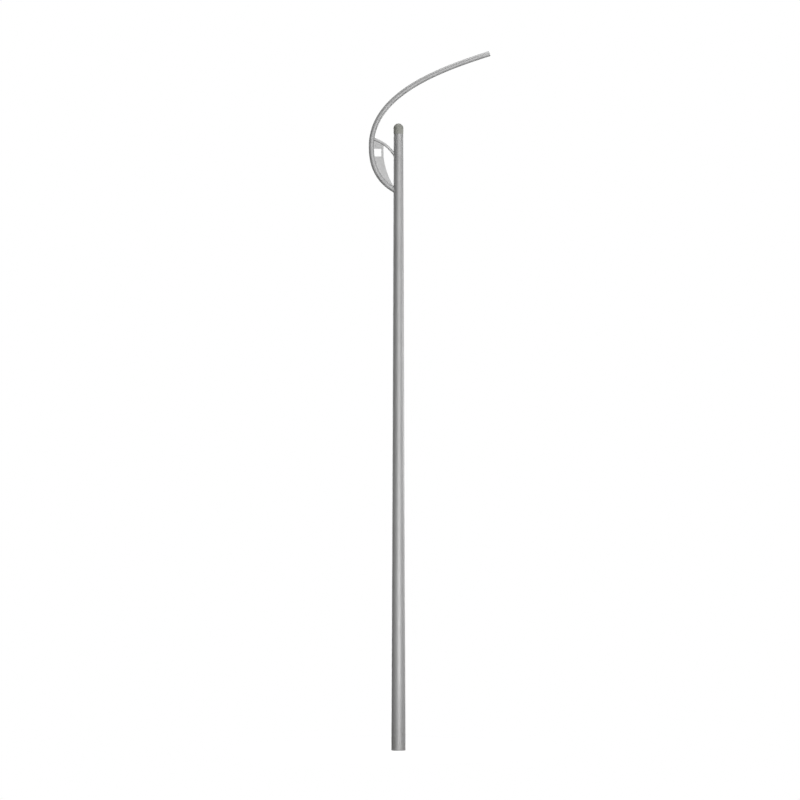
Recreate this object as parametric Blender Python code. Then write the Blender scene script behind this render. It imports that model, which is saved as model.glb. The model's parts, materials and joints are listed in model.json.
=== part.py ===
"""Street lamp post: a tapered steel column with a ball finial and a bow arm that sweeps over its top.

Metres, +Z up. The origin is on the column's axis at ground level, +X points the way the arm
reaches, and the access door faces +Y. Touching pieces are modelled with a gap of GAP between them.
"""

import math

import bmesh
import bpy
from mathutils import Matrix, Vector

# Driving dimensions
NOMINAL_HEIGHT = 8.0  # ground to the centre of the arm's open end, where a luminaire enters
GAP = 0.0003  # between pieces that touch

# Column
FOOT_DIAMETER = 0.163
TOP_DIAMETER = 0.109
SHAFT_HEIGHT = 7.078
SHAFT_WALL = 0.004
SECTION_JOINT = 1.100  # where the base section with the door is butt-welded to the shaft above
BACKING_RING_HEIGHT = 0.040
BACKING_RING_WALL = 0.003
ROUND_SEGMENTS = 72
OVERCUT = 0.010  # how far a cutter runs on past the faces that it cuts through

# Foot plate, welded inside the column flush with its foot
FOOT_PLATE_THICKNESS = 0.012
CABLE_HOLE_RADIUS = 0.018
CABLE_HOLE_OFFSET = 0.042
ANCHOR_HOLE_RADIUS = 0.009
ANCHOR_CIRCLE_RADIUS = 0.055

# Bow arm: foot on the column, outermost point at the side, open end at the tip
BOW_RADIUS = 0.030
BOW_WALL = 0.0035
BOW_SEGMENTS = 20
BOW_FOOT = Vector((-0.051, 0.0, 6.435))
BOW_FOOT_RISE = math.radians(30.0)
BOW_FOOT_PULL = 0.302
BOW_SIDE = Vector((-0.311, 0.0, 6.937))
BOW_SIDE_PULL_DOWN = 0.092
BOW_SIDE_PULL_UP = 0.607
BOW_TIP = Vector((1.048, 0.0, NOMINAL_HEIGHT))
BOW_TIP_RISE = math.radians(17.7)
BOW_TIP_PULL = 0.567
BOW_LOWER_STEPS = 11
BOW_UPPER_STEPS = 22
COPE_DEPTH = 0.046  # how far a tube's path runs on into the piece that its end is coped to

# Brace, a circular arc from the bow's side to the column
BRACE_RADIUS = 0.01685
BRACE_WALL = 0.0026
BRACE_SEGMENTS = 18
BRACE_ARC_RADIUS = 0.4305
BRACE_ARC_CENTRE = Vector((-0.4112, 0.0, 6.6063))
BRACE_START = math.radians(13.8)  # from straight up, at the bow's centre line
BRACE_END = math.radians(64.0)  # inside the column
BRACE_STEPS = 14

# Gusset plate between bow and brace
GUSSET_THICKNESS = 0.008
GUSSET_EDGE_X = -0.171
GUSSET_KNEE = Vector((GUSSET_EDGE_X, 0.0, 6.812))  # the upright free edge's lower end
GUSSET_BEND = Vector((-0.144, 0.0, 6.601))  # what pulls the curved free edge inward
GUSSET_FOOT = Vector((-0.029, 0.0, 6.435))  # where that edge would end, inside the column
GUSSET_EDGE_STEPS = 10
WINDOW_WIDTH = 0.083
WINDOW_HEIGHT = 0.087
WINDOW_STRIP = 0.026  # plate left to the right of the window
WINDOW_BOTTOM = 6.818

# Cable bushes in the arm's two ends
ARM_HOLE_RADIUS = 0.0168
BUSH_WALL = 0.0034
ARM_BUSH_LENGTH = 0.016
TIP_BUSH_LENGTH = 0.015
TIP_BUSH_BORE_RADIUS = 0.018
TIP_BUSH_DEPTH = 0.001

# Finial
COLLAR_RADIUS = 0.0563
COLLAR_HEIGHT = 0.033  # up to the face that the ball stands on
COLLAR_LIP_HEIGHT = 0.0085  # above that face, round the ball's foot
COLLAR_LIP_STEPS = 3
CUP_CLEARANCE = 0.0008  # between the lip and the ball
COLLAR_TOP_THICKNESS = 0.006
COLLAR_WALL = 0.004
SPIGOT_RADIUS = 0.0497
SPIGOT_LENGTH = 0.058
BALL_RADIUS = 0.0576
BALL_WALL = 0.003
BALL_BASE_THICKNESS = 0.005
BALL_TOP = 7.197
BALL_RINGS = 10
BALL_SEGMENTS = 32
STUD_RADIUS = 0.005
STUD_HOLE_RADIUS = STUD_RADIUS + GAP
STUD_BELOW = 0.016  # below the collar's top plate
STUD_ABOVE = 0.006  # above the ball's base
STUD_WASHER_RADIUS = 0.0105
STUD_WASHER_THICKNESS = 0.002
STUD_NUT_ACROSS_FLATS = 0.016
STUD_NUT_HEIGHT = 0.008
GRUB_SCREW_RADIUS = 0.0037
GRUB_SOCKET_ACROSS_FLATS = 0.004
GRUB_SOCKET_DEPTH = 0.0022
GRUB_SCREW_HEIGHT = 7.045
GRUB_SCREW_COUNT = 3

# Access door
DOOR_OPENING_WIDTH = 0.085
DOOR_OPENING_HEIGHT = 0.400
DOOR_OPENING_BOTTOM = 0.500
DOOR_CORNER_RADIUS = 0.022
DOOR_CLEARANCE = 0.0015
DOOR_THICKNESS = 0.0025
FRAME_THICKNESS = 0.004
FRAME_WIDTH = 0.112
FRAME_HEIGHT = 0.427
FRAME_LIP = 0.007
GASKET_MARGIN = 0.003
GASKET_BACK = 0.004
GASKET_FRONT = 0.0028
CORNER_STEPS = 6

# Door hinges, welded on outside
HINGE_ANGLE = math.radians(36.5)  # from +Y towards +X
HINGE_STANDOFF = 0.007
KNUCKLE_RADIUS = 0.006
KNUCKLE_LENGTH = 0.018
HINGE_PIN_RADIUS = 0.003
HINGE_WASHER_THICKNESS = 0.001
HINGE_INSET = 0.060  # from the door opening's end to the hinge
LEAF_LENGTH = 0.019
LEAF_OUTER = 0.0035
LEAF_INNER = 0.0130
SMALL_SEGMENTS = 24

# Door lock, a quarter-turn cam lock with a triangular key head
LOCK_ANGLE = math.radians(-17.0)
LOCK_BARREL_RADIUS = 0.008
LOCK_FLANGE_RADIUS = 0.0105
LOCK_FLANGE_THICKNESS = 0.002
LOCK_RECESS_RADIUS = 0.0065
LOCK_RECESS_DEPTH = 0.005
LOCK_BARREL_LENGTH = 0.0114
LOCK_NUT_ACROSS_FLATS = 0.019
LOCK_NUT_HEIGHT = 0.0035
LOCK_NUT_SET_BACK = 0.0012  # behind the door's inner face, which curves away from the flat nut
SPINDLE_RADIUS = 0.004
KEY_HEAD_RADIUS = 0.0049
KEY_HEAD_LENGTH = 0.0044
CAM_SET_BACK = 0.0139  # from the door's outer face to the cam's front
CAM_THICKNESS = 0.003
CAM_REACH = 0.024
CAM_WIDTH = 0.014
CAM_SCREW_RADIUS = 0.0022
CAM_SCREW_GRIP = 0.007  # length of the cam's screw inside the spindle

# Equipment behind the door
BOARD_WIDTH = 0.060
BOARD_HEIGHT = 0.340
BOARD_THICKNESS = 0.003
BOARD_FRONT_Y = -0.0402
BRACKET_WIDTH = 0.047
BRACKET_HEIGHT = 0.024
BRACKET_THICKNESS = 0.003
BRACKET_INSET = 0.035
SCREW_RADIUS = 0.0025
SCREW_HEAD_RADIUS = 0.0046
SCREW_HEAD_HEIGHT = 0.003
SCREW_SEGMENTS = 16
BOARD_SCREW_SPACING = 0.028
BOARD_SCREW_LENGTH = 0.009
RAIL_LENGTH = 0.056
RAIL_HEIGHT = 0.035
RAIL_DEPTH = 0.0075
RAIL_SHEET = 0.0012
RAIL_CHANNEL = 0.0250
RAIL_SCREW_SPACING = 0.042
RAIL_SCREW_LENGTH = 0.006
BREAKER_WIDTH = 0.036
BREAKER_HEIGHT = 0.080
BREAKER_FRONT_Y = 0.008
BREAKER_NOSE_HEIGHT = 0.045
BREAKER_NOSE_DEPTH = 0.016
BREAKER_BEHIND_RAIL = 0.005  # how far its clip reaches back past the rail's front
TOGGLE_SIDE_CLEARANCE = 0.0008
TOGGLE_WIDTH = 0.018
TOGGLE_RADIUS = 0.0055
TOGGLE_REACH = 0.012
TOGGLE_THICKNESS = 0.004
TOGGLE_TILT = math.radians(-35.0)
TERMINAL_WIDTH = 0.050
TERMINAL_HEIGHT = 0.030
TERMINAL_DEPTH = 0.022
TERMINAL_WAYS = 4
TERMINAL_PITCH = 0.0095
TERMINAL_HOLE_RADIUS = 0.0030
TERMINAL_SCREW_SPACING = 0.044
TERMINAL_SCREW_LENGTH = 0.012
TERMINAL_EAR_THICKNESS = 0.006
EARTH_STUD_RADIUS = 0.004
EARTH_STUD_LENGTH = 0.024
EARTH_STUD_HEIGHT = 0.545
EARTH_STUD_END_GAP = 0.0006  # its flat end stops short of the curved and faceted wall
EARTH_WASHER_OFFSET = 0.0115  # from the stud's free end
EARTH_WASHER_RADIUS = 0.008
EARTH_WASHER_THICKNESS = 0.0015
EARTH_NUT_ACROSS_FLATS = 0.013
EARTH_NUT_HEIGHT = 0.0065

DOOR_MIDDLE = DOOR_OPENING_BOTTOM + DOOR_OPENING_HEIGHT / 2
RAIL_MIDDLE = DOOR_MIDDLE + 0.055
TERMINAL_MIDDLE = DOOR_MIDDLE - 0.075

LOOKS = {
    "column": ((0.47, 0.47, 0.47), 0.42, 0.55),
    "arm": ((0.36, 0.36, 0.36), 0.42, 0.55),
    "plate": ((0.53, 0.53, 0.53), 0.45, 0.40),
    "finial": ((0.20, 0.20, 0.185), 0.45, 0.30),
    "zinc": ((0.55, 0.56, 0.57), 0.35, 1.00),
    "steel": ((0.58, 0.58, 0.59), 0.28, 1.00),
    "rubber": ((0.03, 0.03, 0.03), 0.80, 0.00),
    "board": ((0.42, 0.40, 0.35), 0.60, 0.00),
    "breaker": ((0.72, 0.72, 0.70), 0.40, 0.00),
    "toggle": ((0.03, 0.03, 0.035), 0.35, 0.00),
    "brass": ((0.70, 0.55, 0.26), 0.35, 1.00),
}


def clear_scene():
    for old in list(bpy.data.objects):
        bpy.data.objects.remove(old, do_unlink=True)


def material(node, look):
    colour, roughness, metallic = LOOKS[look]
    made = bpy.data.materials.new(node + "_" + look)
    made.use_nodes = True
    shader = made.node_tree.nodes["Principled BSDF"]
    shader.inputs["Base Color"].default_value = (*colour, 1.0)
    shader.inputs["Roughness"].default_value = roughness
    shader.inputs["Metallic"].default_value = metallic
    return made


# ---- mesh tools -------------------------------------------------------------------------------


def add_object(name, bm, look=None):
    """Make an object of a finished bmesh; with no look it is a cutter."""
    bmesh.ops.recalc_face_normals(bm, faces=bm.faces[:])
    mesh = bpy.data.meshes.new(name)
    bm.to_mesh(mesh)
    bm.free()
    mesh.shade_smooth()
    mesh.set_sharp_from_angle(angle=math.radians(32.0))
    made = bpy.data.objects.new(name, mesh)
    bpy.context.scene.collection.objects.link(made)
    if look is None:
        made.hide_render = True
        made.display_type = "WIRE"
    else:
        mesh.materials.append(material(name, look))
    return made


def loft(name, rings, look=None, place=None):
    """Skin rings of points in turn and back to the first. A ring of one point is an apex."""
    bm = bmesh.new()
    loops = [[bm.verts.new(point) for point in ring] for ring in rings]
    for here, there in zip(loops, loops[1:] + loops[:1]):
        if len(here) == 1 and len(there) == 1:
            continue
        for i in range(max(len(here), len(there))):
            corners = [here[i % len(here)], here[(i + 1) % len(here)]]
            corners += [there[(i + 1) % len(there)], there[i % len(there)]]
            bm.faces.new(list(dict.fromkeys(corners)))
    if place is not None:
        bmesh.ops.transform(bm, matrix=place, verts=bm.verts[:])
    return add_object(name, bm, look)


def ring(radius, height, segments):
    if radius == 0.0:
        return [Vector((0.0, 0.0, height))]
    turns = [2.0 * math.pi * i / segments for i in range(segments)]
    return [Vector((radius * math.cos(a), radius * math.sin(a), height)) for a in turns]


def hexagon_ring(across_flats, height, segments):
    """A hexagon with as many points as a round ring, so that the two can be skinned together."""
    points = []
    for i in range(segments):
        angle = 2.0 * math.pi * i / segments
        off_flat = (angle + math.pi / 6.0) % (math.pi / 3.0) - math.pi / 6.0
        radius = across_flats / 2.0 / math.cos(off_flat)
        points.append(Vector((radius * math.cos(angle), radius * math.sin(angle), height)))
    return points


def lathe(name, profile, segments, look=None, place=None):
    """Turn a closed profile of (radius, height) points about the local Z axis."""
    rings = [ring(radius, height, segments) for radius, height in profile]
    return loft(name, rings, look, place)


def rod(name, radius, low, high, segments, look=None, place=None):
    profile = [(0.0, low), (radius, low), (radius, high), (0.0, high)]
    return lathe(name, profile, segments, look, place)


def washer(name, bore, outer, low, high, segments, look=None, place=None):
    profile = [(bore, low), (outer, low), (outer, high), (bore, high)]
    return lathe(name, profile, segments, look, place)


def nut(name, bore, across_flats, low, high, look, place):
    rings = [ring(bore, low, SMALL_SEGMENTS), hexagon_ring(across_flats, low, SMALL_SEGMENTS)]
    rings += [hexagon_ring(across_flats, high, SMALL_SEGMENTS), ring(bore, high, SMALL_SEGMENTS)]
    return loft(name, rings, look, place)


def extrude(name, outline, low, high, look=None, place=None):
    """A prism of an outline of (x, z) points, running along Y from low to high."""
    bm = bmesh.new()
    near = [bm.verts.new((x, low, z)) for x, z in outline]
    face = bm.faces.new(near)
    grown = bmesh.ops.extrude_face_region(bm, geom=[face])
    far = [item for item in grown["geom"] if isinstance(item, bmesh.types.BMVert)]
    bmesh.ops.translate(bm, vec=(0.0, high - low, 0.0), verts=far)
    if place is not None:
        bmesh.ops.transform(bm, matrix=place, verts=bm.verts[:])
    return add_object(name, bm, look)


def block(name, low, high, look=None, place=None):
    outline = [(low[0], low[2]), (high[0], low[2]), (high[0], high[2]), (low[0], high[2])]
    return extrude(name, outline, low[1], high[1], look, place)


def rounded_rectangle(width, height, radius, middle):
    """An outline about (0, middle), each corner an arc."""
    outline = []
    for quarter in range(4):
        turn = quarter * math.pi / 2.0
        side_x = 1.0 if quarter in (0, 3) else -1.0
        side_z = 1.0 if quarter in (0, 1) else -1.0
        for step in range(CORNER_STEPS + 1):
            angle = turn + step * math.pi / 2.0 / CORNER_STEPS
            x = side_x * (width / 2.0 - radius) + radius * math.cos(angle)
            z = side_z * (height / 2.0 - radius) + radius * math.sin(angle)
            outline.append((x, middle + z))
    return outline


def boolean(target, tool, operation):
    made = target.modifiers.new(operation.lower() + "_" + tool.name, "BOOLEAN")
    made.operation = operation
    made.object = tool
    return target


def cut(target, *tools):
    for tool in tools:
        boolean(target, tool, "DIFFERENCE")
    return target


def apply_modifiers(piece):
    """Fix a piece's shape, so that turning it doesn't leave its cutters behind."""
    seen = piece.evaluated_get(bpy.context.evaluated_depsgraph_get())
    shaped = bpy.data.meshes.new_from_object(seen)
    piece.modifiers.clear()
    piece.data = shaped


def hang_on(pivot_name, point, pieces):
    """Parent pieces to an empty that stands on their joint's axis, leaving them where they are."""
    pivot = bpy.data.objects.new(pivot_name, None)
    bpy.context.scene.collection.objects.link(pivot)
    pivot.location = point
    for piece in pieces:
        apply_modifiers(piece)
        piece.parent = pivot
        piece.matrix_parent_inverse = Matrix.Translation(-Vector(point))
    return pivot


# ---- the column's own geometry ----------------------------------------------------------------


def column_radius(height):
    """The column's outer radius, an even taper."""
    taper = (FOOT_DIAMETER - TOP_DIAMETER) / 2.0 / SHAFT_HEIGHT
    return FOOT_DIAMETER / 2.0 - taper * height


def column_shell(name, inner_depth, outer_depth, low, high, look=None):
    """A layer of the column's wall, between two depths below its outer surface."""
    profile = [
        (column_radius(low) - outer_depth, low),
        (column_radius(high) - outer_depth, high),
        (column_radius(high) - inner_depth, high),
        (column_radius(low) - inner_depth, low),
    ]
    return lathe(name, profile, ROUND_SEGMENTS, look)


def column_solid(name, grown_by, low, high):
    profile = [
        (0.0, low),
        (column_radius(low) + grown_by, low),
        (column_radius(high) + grown_by, high),
        (0.0, high),
    ]
    return lathe(name, profile, ROUND_SEGMENTS)


def outward(angle, height):
    """A frame on the column's axis whose local Z points outward, angle counted from +Y to +X."""
    out = Vector((math.sin(angle), math.cos(angle), 0.0))
    up = Vector((0.0, 0.0, 1.0))
    side = up.cross(out)
    turn = Matrix((side, up, out)).transposed().to_4x4()
    return Matrix.Translation((0.0, 0.0, height)) @ turn


def along(point, direction):
    """A frame at a point whose local Z runs along a direction in the XZ plane."""
    out = Vector(direction).normalized()
    side = Vector((0.0, 1.0, 0.0))
    turn = Matrix((side, out.cross(side), out)).transposed().to_4x4()
    return Matrix.Translation(point) @ turn


# ---- curves -----------------------------------------------------------------------------------


def bezier(points, t):
    a, b, c, d = points
    s = 1.0 - t
    return s * s * s * a + 3.0 * s * s * t * b + 3.0 * s * t * t * c + t * t * t * d


def rising(angle, towards):
    return Vector((towards * math.cos(angle), 0.0, math.sin(angle)))


def bow_lower():
    foot_pull = BOW_FOOT + BOW_FOOT_PULL * rising(BOW_FOOT_RISE, -1.0)
    side_pull = BOW_SIDE - Vector((0.0, 0.0, BOW_SIDE_PULL_DOWN))
    return (BOW_FOOT, foot_pull, side_pull, BOW_SIDE)


def bow_upper():
    side_pull = BOW_SIDE + Vector((0.0, 0.0, BOW_SIDE_PULL_UP))
    tip_pull = BOW_TIP - BOW_TIP_PULL * rising(BOW_TIP_RISE, 1.0)
    return (BOW_SIDE, side_pull, tip_pull, BOW_TIP)


def bow_path():
    """The bow's centre line, from inside the column to the tip."""
    path = [BOW_FOOT - COPE_DEPTH * rising(BOW_FOOT_RISE, -1.0)]
    path += [bezier(bow_lower(), i / BOW_LOWER_STEPS) for i in range(BOW_LOWER_STEPS)]
    path += [bezier(bow_upper(), i / BOW_UPPER_STEPS) for i in range(BOW_UPPER_STEPS + 1)]
    return path


def brace_point(angle):
    reach = Vector((math.sin(angle), 0.0, math.cos(angle)))
    return BRACE_ARC_CENTRE + BRACE_ARC_RADIUS * reach


def brace_path():
    step = (BRACE_END - BRACE_START) / BRACE_STEPS
    return [brace_point(BRACE_START + step * i) for i in range(BRACE_STEPS + 1)]


def rings_along(path, radius, segments):
    """Rings square to a path in the XZ plane."""
    rings = []
    for i, point in enumerate(path):
        before = path[max(i - 1, 0)]
        after = path[min(i + 1, len(path) - 1)]
        across = (after - before).normalized().cross(Vector((0.0, 1.0, 0.0)))
        turns = [2.0 * math.pi * k / segments for k in range(segments)]
        side = Vector((0.0, radius, 0.0))
        rings.append([point + math.cos(a) * radius * across + math.sin(a) * side for a in turns])
    return rings


def tube(name, path, radius, wall, segments, look):
    outer = rings_along(path, radius, segments)
    inner = rings_along(path, radius - wall, segments)
    return loft(name, outer + inner[::-1], look)


def solid_along(name, path, radius, segments):
    rings = [[path[0]]] + rings_along(path, radius, segments) + [[path[-1]]]
    return loft(name, rings)


# ---- column and foot --------------------------------------------------------------------------


def make_base_section():
    section = column_shell("base_section", SHAFT_WALL, 0.0, 0.0, SECTION_JOINT, "column")
    outline = rounded_rectangle(
        DOOR_OPENING_WIDTH, DOOR_OPENING_HEIGHT, DOOR_CORNER_RADIUS, DOOR_MIDDLE
    )
    return cut(section, extrude("cut_door_opening", outline, FOOT_DIAMETER / 4.0, FOOT_DIAMETER))


def make_backing_ring():
    """A sleeve inside the column that bridges the butt joint of its two sections."""
    depth = SHAFT_WALL + GAP
    low = SECTION_JOINT - BACKING_RING_HEIGHT / 2.0
    high = low + BACKING_RING_HEIGHT
    return column_shell("backing_ring", depth + BACKING_RING_WALL, depth, low, high, "zinc")


def make_shaft(arm_hole):
    low = SECTION_JOINT + GAP
    shaft = column_shell("pole_shaft", SHAFT_WALL, 0.0, low, SHAFT_HEIGHT, "column")
    cut(shaft, arm_hole)
    for i in range(GRUB_SCREW_COUNT):
        place = outward(2.0 * math.pi * i / GRUB_SCREW_COUNT, GRUB_SCREW_HEIGHT)
        hole = rod(
            f"cut_grub_screw_{i + 1}",
            GRUB_SCREW_RADIUS + GAP,
            TOP_DIAMETER / 4.0,
            TOP_DIAMETER,
            SCREW_SEGMENTS,
            place=place,
        )
        cut(shaft, hole)
    return shaft


def make_foot_plate():
    radius = column_radius(FOOT_PLATE_THICKNESS) - SHAFT_WALL - GAP
    plate = rod("foot_plate", radius, 0.0, FOOT_PLATE_THICKNESS, ROUND_SEGMENTS, "zinc")
    over = FOOT_PLATE_THICKNESS
    place = Matrix.Translation((0.0, CABLE_HOLE_OFFSET, 0.0))
    cable = rod("cut_cable_hole", CABLE_HOLE_RADIUS, -over, 2.0 * over, 32, place=place)
    cut(plate, cable)
    for i in range(4):
        angle = math.pi / 4.0 + i * math.pi / 2.0
        centre = Vector((math.cos(angle), math.sin(angle), 0.0)) * ANCHOR_CIRCLE_RADIUS
        hole = rod(
            f"cut_anchor_hole_{i + 1}",
            ANCHOR_HOLE_RADIUS,
            -over,
            2.0 * over,
            SMALL_SEGMENTS,
            place=Matrix.Translation(centre),
        )
        cut(plate, hole)
    return plate


# ---- arm --------------------------------------------------------------------------------------


def make_arm_cable_hole():
    place = along(BOW_FOOT, rising(BOW_FOOT_RISE, -1.0))
    return rod("cut_arm_hole", ARM_HOLE_RADIUS, -0.020, 0.030, SMALL_SEGMENTS, place=place)


def make_bow(column_cutter):
    bow = tube("bow_arm", bow_path(), BOW_RADIUS, BOW_WALL, BOW_SEGMENTS, "arm")
    return cut(bow, column_cutter)


def make_brace(column_cutter, bow_cutter):
    brace = tube("brace_arc", brace_path(), BRACE_RADIUS, BRACE_WALL, BRACE_SEGMENTS, "arm")
    return cut(brace, bow_cutter, column_cutter)


def gusset_outline():
    """Down the bow's centre line, up the curved and upright free edges, back along the brace."""
    outline = [brace_point(BRACE_START)]
    steps = BOW_LOWER_STEPS
    outline += [bezier(bow_lower(), 1.0 - i / steps) for i in range(steps + 1)]
    for i in range(GUSSET_EDGE_STEPS + 1):
        t = i / GUSSET_EDGE_STEPS
        s = 1.0 - t
        outline.append(s * s * GUSSET_FOOT + 2.0 * s * t * GUSSET_BEND + t * t * GUSSET_KNEE)
    top = math.asin((GUSSET_EDGE_X - BRACE_ARC_CENTRE.x) / BRACE_ARC_RADIUS)
    for i in range(steps):
        outline.append(brace_point(top + (BRACE_START - top) * i / steps))
    return [(point.x, point.z) for point in outline]


def make_gusset(column_cutter, bow_cutter, brace_cutter):
    half = GUSSET_THICKNESS / 2.0
    plate = extrude("gusset_plate", gusset_outline(), -half, half, "plate")
    right = GUSSET_EDGE_X - WINDOW_STRIP
    low = (right - WINDOW_WIDTH - BOW_RADIUS / 2.0, -GUSSET_THICKNESS, WINDOW_BOTTOM)
    high = (right, GUSSET_THICKNESS, WINDOW_BOTTOM + WINDOW_HEIGHT)
    window = block("cut_gusset_window", low, high)
    return cut(plate, window, bow_cutter, brace_cutter, column_cutter)


def make_cable_bushes():
    place = along(BOW_FOOT, rising(BOW_FOOT_RISE, -1.0))
    outer = ARM_HOLE_RADIUS - GAP
    low = -ARM_BUSH_LENGTH / 2.0
    washer(
        "arm_cable_bush",
        outer - BUSH_WALL,
        outer,
        low,
        -low,
        SMALL_SEGMENTS,
        "rubber",
        place,
    )
    place = along(BOW_TIP, rising(BOW_TIP_RISE, 1.0))
    outer = BOW_RADIUS - BOW_WALL - 2.0 * GAP
    washer(
        "tip_cable_bush",
        TIP_BUSH_BORE_RADIUS,
        outer,
        -TIP_BUSH_DEPTH - TIP_BUSH_LENGTH,
        -TIP_BUSH_DEPTH,
        SMALL_SEGMENTS,
        "rubber",
        place,
    )


def make_arm():
    low = BOW_FOOT.z - 0.25
    column_cutter = column_solid("cut_column", GAP, low, SHAFT_HEIGHT)
    bow_cutter = solid_along("cut_bow", bow_path(), BOW_RADIUS + GAP, BOW_SEGMENTS)
    brace_cutter = solid_along("cut_brace", brace_path(), BRACE_RADIUS + GAP, BRACE_SEGMENTS)
    make_bow(column_cutter)
    make_brace(column_cutter, bow_cutter)
    make_gusset(column_cutter, bow_cutter, brace_cutter)
    make_cable_bushes()


# ---- finial -----------------------------------------------------------------------------------


def make_collar():
    """A cup for the ball, as wide as the ball, whose open spigot drops into the column."""
    seat = SHAFT_HEIGHT + GAP
    top = seat + COLLAR_HEIGHT
    bore = SPIGOT_RADIUS - COLLAR_WALL
    centre = BALL_TOP - BALL_RADIUS
    cup = BALL_RADIUS + CUP_CLEARANCE
    start = math.asin((top - centre) / cup)
    end = math.asin((top + COLLAR_LIP_HEIGHT - centre) / cup)
    profile = [(STUD_HOLE_RADIUS, top)]
    for i in range(COLLAR_LIP_STEPS + 1):
        angle = start + (end - start) * i / COLLAR_LIP_STEPS
        profile.append((cup * math.cos(angle), centre + cup * math.sin(angle)))
    profile += [
        (COLLAR_RADIUS, top + COLLAR_LIP_HEIGHT),
        (COLLAR_RADIUS, seat),
        (SPIGOT_RADIUS, seat),
        (SPIGOT_RADIUS, seat - SPIGOT_LENGTH),
        (bore, seat - SPIGOT_LENGTH),
        (bore, top - COLLAR_TOP_THICKNESS),
        (STUD_HOLE_RADIUS, top - COLLAR_TOP_THICKNESS),
    ]
    lathe("finial_collar", profile, ROUND_SEGMENTS // 2, "finial")
    return top


def make_ball(seat):
    """A hollow ball cut off flat below, with a tapped base."""
    centre = BALL_TOP - BALL_RADIUS
    bottom = seat + GAP
    outer_start = math.asin((bottom - centre) / BALL_RADIUS)
    hollow = BALL_RADIUS - BALL_WALL
    floor = bottom + BALL_BASE_THICKNESS
    inner_start = math.asin((floor - centre) / hollow)
    profile = [(STUD_HOLE_RADIUS, bottom)]
    for i in range(BALL_RINGS + 1):
        angle = outer_start + (math.pi / 2.0 - outer_start) * i / BALL_RINGS
        radius = 0.0 if i == BALL_RINGS else BALL_RADIUS * math.cos(angle)
        profile.append((radius, centre + BALL_RADIUS * math.sin(angle)))
    for i in range(BALL_RINGS + 1):
        angle = math.pi / 2.0 + (inner_start - math.pi / 2.0) * i / BALL_RINGS
        radius = 0.0 if i == 0 else hollow * math.cos(angle)
        profile.append((radius, centre + hollow * math.sin(angle)))
    profile.append((STUD_HOLE_RADIUS, floor))
    lathe("finial_ball", profile, BALL_SEGMENTS, "finial")


def make_finial():
    collar_top = make_collar()
    make_ball(collar_top)
    underside = collar_top - COLLAR_TOP_THICKNESS
    low = underside - STUD_BELOW
    high = collar_top + BALL_BASE_THICKNESS + STUD_ABOVE
    rod("finial_stud", STUD_RADIUS, low, high, SMALL_SEGMENTS, "steel")
    top = underside - GAP
    low = top - STUD_WASHER_THICKNESS
    bore = STUD_HOLE_RADIUS
    washer("finial_washer", bore, STUD_WASHER_RADIUS, low, top, SMALL_SEGMENTS, "steel")
    top = low - GAP
    low = top - STUD_NUT_HEIGHT
    nut("finial_nut", bore, STUD_NUT_ACROSS_FLATS, low, top, "steel", Matrix.Identity(4))
    for i in range(GRUB_SCREW_COUNT):
        place = outward(2.0 * math.pi * i / GRUB_SCREW_COUNT, GRUB_SCREW_HEIGHT)
        make_grub_screw(f"finial_grub_screw_{i + 1}", place)


def make_grub_screw(name, place):
    """A set screw with a hexagon socket, flush with the column."""
    inner = SPIGOT_RADIUS + GAP
    outer = column_radius(GRUB_SCREW_HEIGHT)
    floor = outer - GRUB_SOCKET_DEPTH
    rings = [
        ring(0.0, inner, SMALL_SEGMENTS),
        ring(GRUB_SCREW_RADIUS, inner, SMALL_SEGMENTS),
        ring(GRUB_SCREW_RADIUS, outer, SMALL_SEGMENTS),
        hexagon_ring(GRUB_SOCKET_ACROSS_FLATS, outer, SMALL_SEGMENTS),
        hexagon_ring(GRUB_SOCKET_ACROSS_FLATS, floor, SMALL_SEGMENTS),
        ring(0.0, floor, SMALL_SEGMENTS),
    ]
    return loft(name, rings, "steel", place)


# ---- door -------------------------------------------------------------------------------------


def door_prism(name, width, height, radius):
    outline = rounded_rectangle(width, height, radius, DOOR_MIDDLE)
    return extrude(name, outline, FOOT_DIAMETER / 6.0, FOOT_DIAMETER)


def curved_panel(name, inner_depth, outer_depth, width, height, radius, look):
    """A piece of the column's wall layer inside a rounded rectangle on its +Y side."""
    reach = FRAME_HEIGHT / 2.0 + 0.05
    low = DOOR_MIDDLE - reach
    panel = column_shell(name, inner_depth, outer_depth, low, DOOR_MIDDLE + reach, look)
    return boolean(panel, door_prism("keep_" + name, width, height, radius), "INTERSECT")


def make_door_frame():
    front = SHAFT_WALL + GAP
    frame = curved_panel(
        "door_frame",
        front + FRAME_THICKNESS,
        front,
        FRAME_WIDTH,
        FRAME_HEIGHT,
        DOOR_CORNER_RADIUS + (FRAME_WIDTH - DOOR_OPENING_WIDTH) / 2.0,
        "zinc",
    )
    lip = door_prism(
        "cut_door_frame",
        DOOR_OPENING_WIDTH - 2.0 * FRAME_LIP,
        DOOR_OPENING_HEIGHT - 2.0 * FRAME_LIP,
        DOOR_CORNER_RADIUS - FRAME_LIP,
    )
    return cut(frame, lip)


def make_gasket():
    gasket = curved_panel(
        "door_gasket",
        GASKET_BACK,
        GASKET_FRONT,
        DOOR_OPENING_WIDTH - 2.0 * GASKET_MARGIN,
        DOOR_OPENING_HEIGHT - 2.0 * GASKET_MARGIN,
        DOOR_CORNER_RADIUS - GASKET_MARGIN,
        "rubber",
    )
    inner = door_prism(
        "cut_door_gasket",
        DOOR_OPENING_WIDTH - 2.0 * FRAME_LIP,
        DOOR_OPENING_HEIGHT - 2.0 * FRAME_LIP,
        DOOR_CORNER_RADIUS - FRAME_LIP,
    )
    return cut(gasket, inner)


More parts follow.
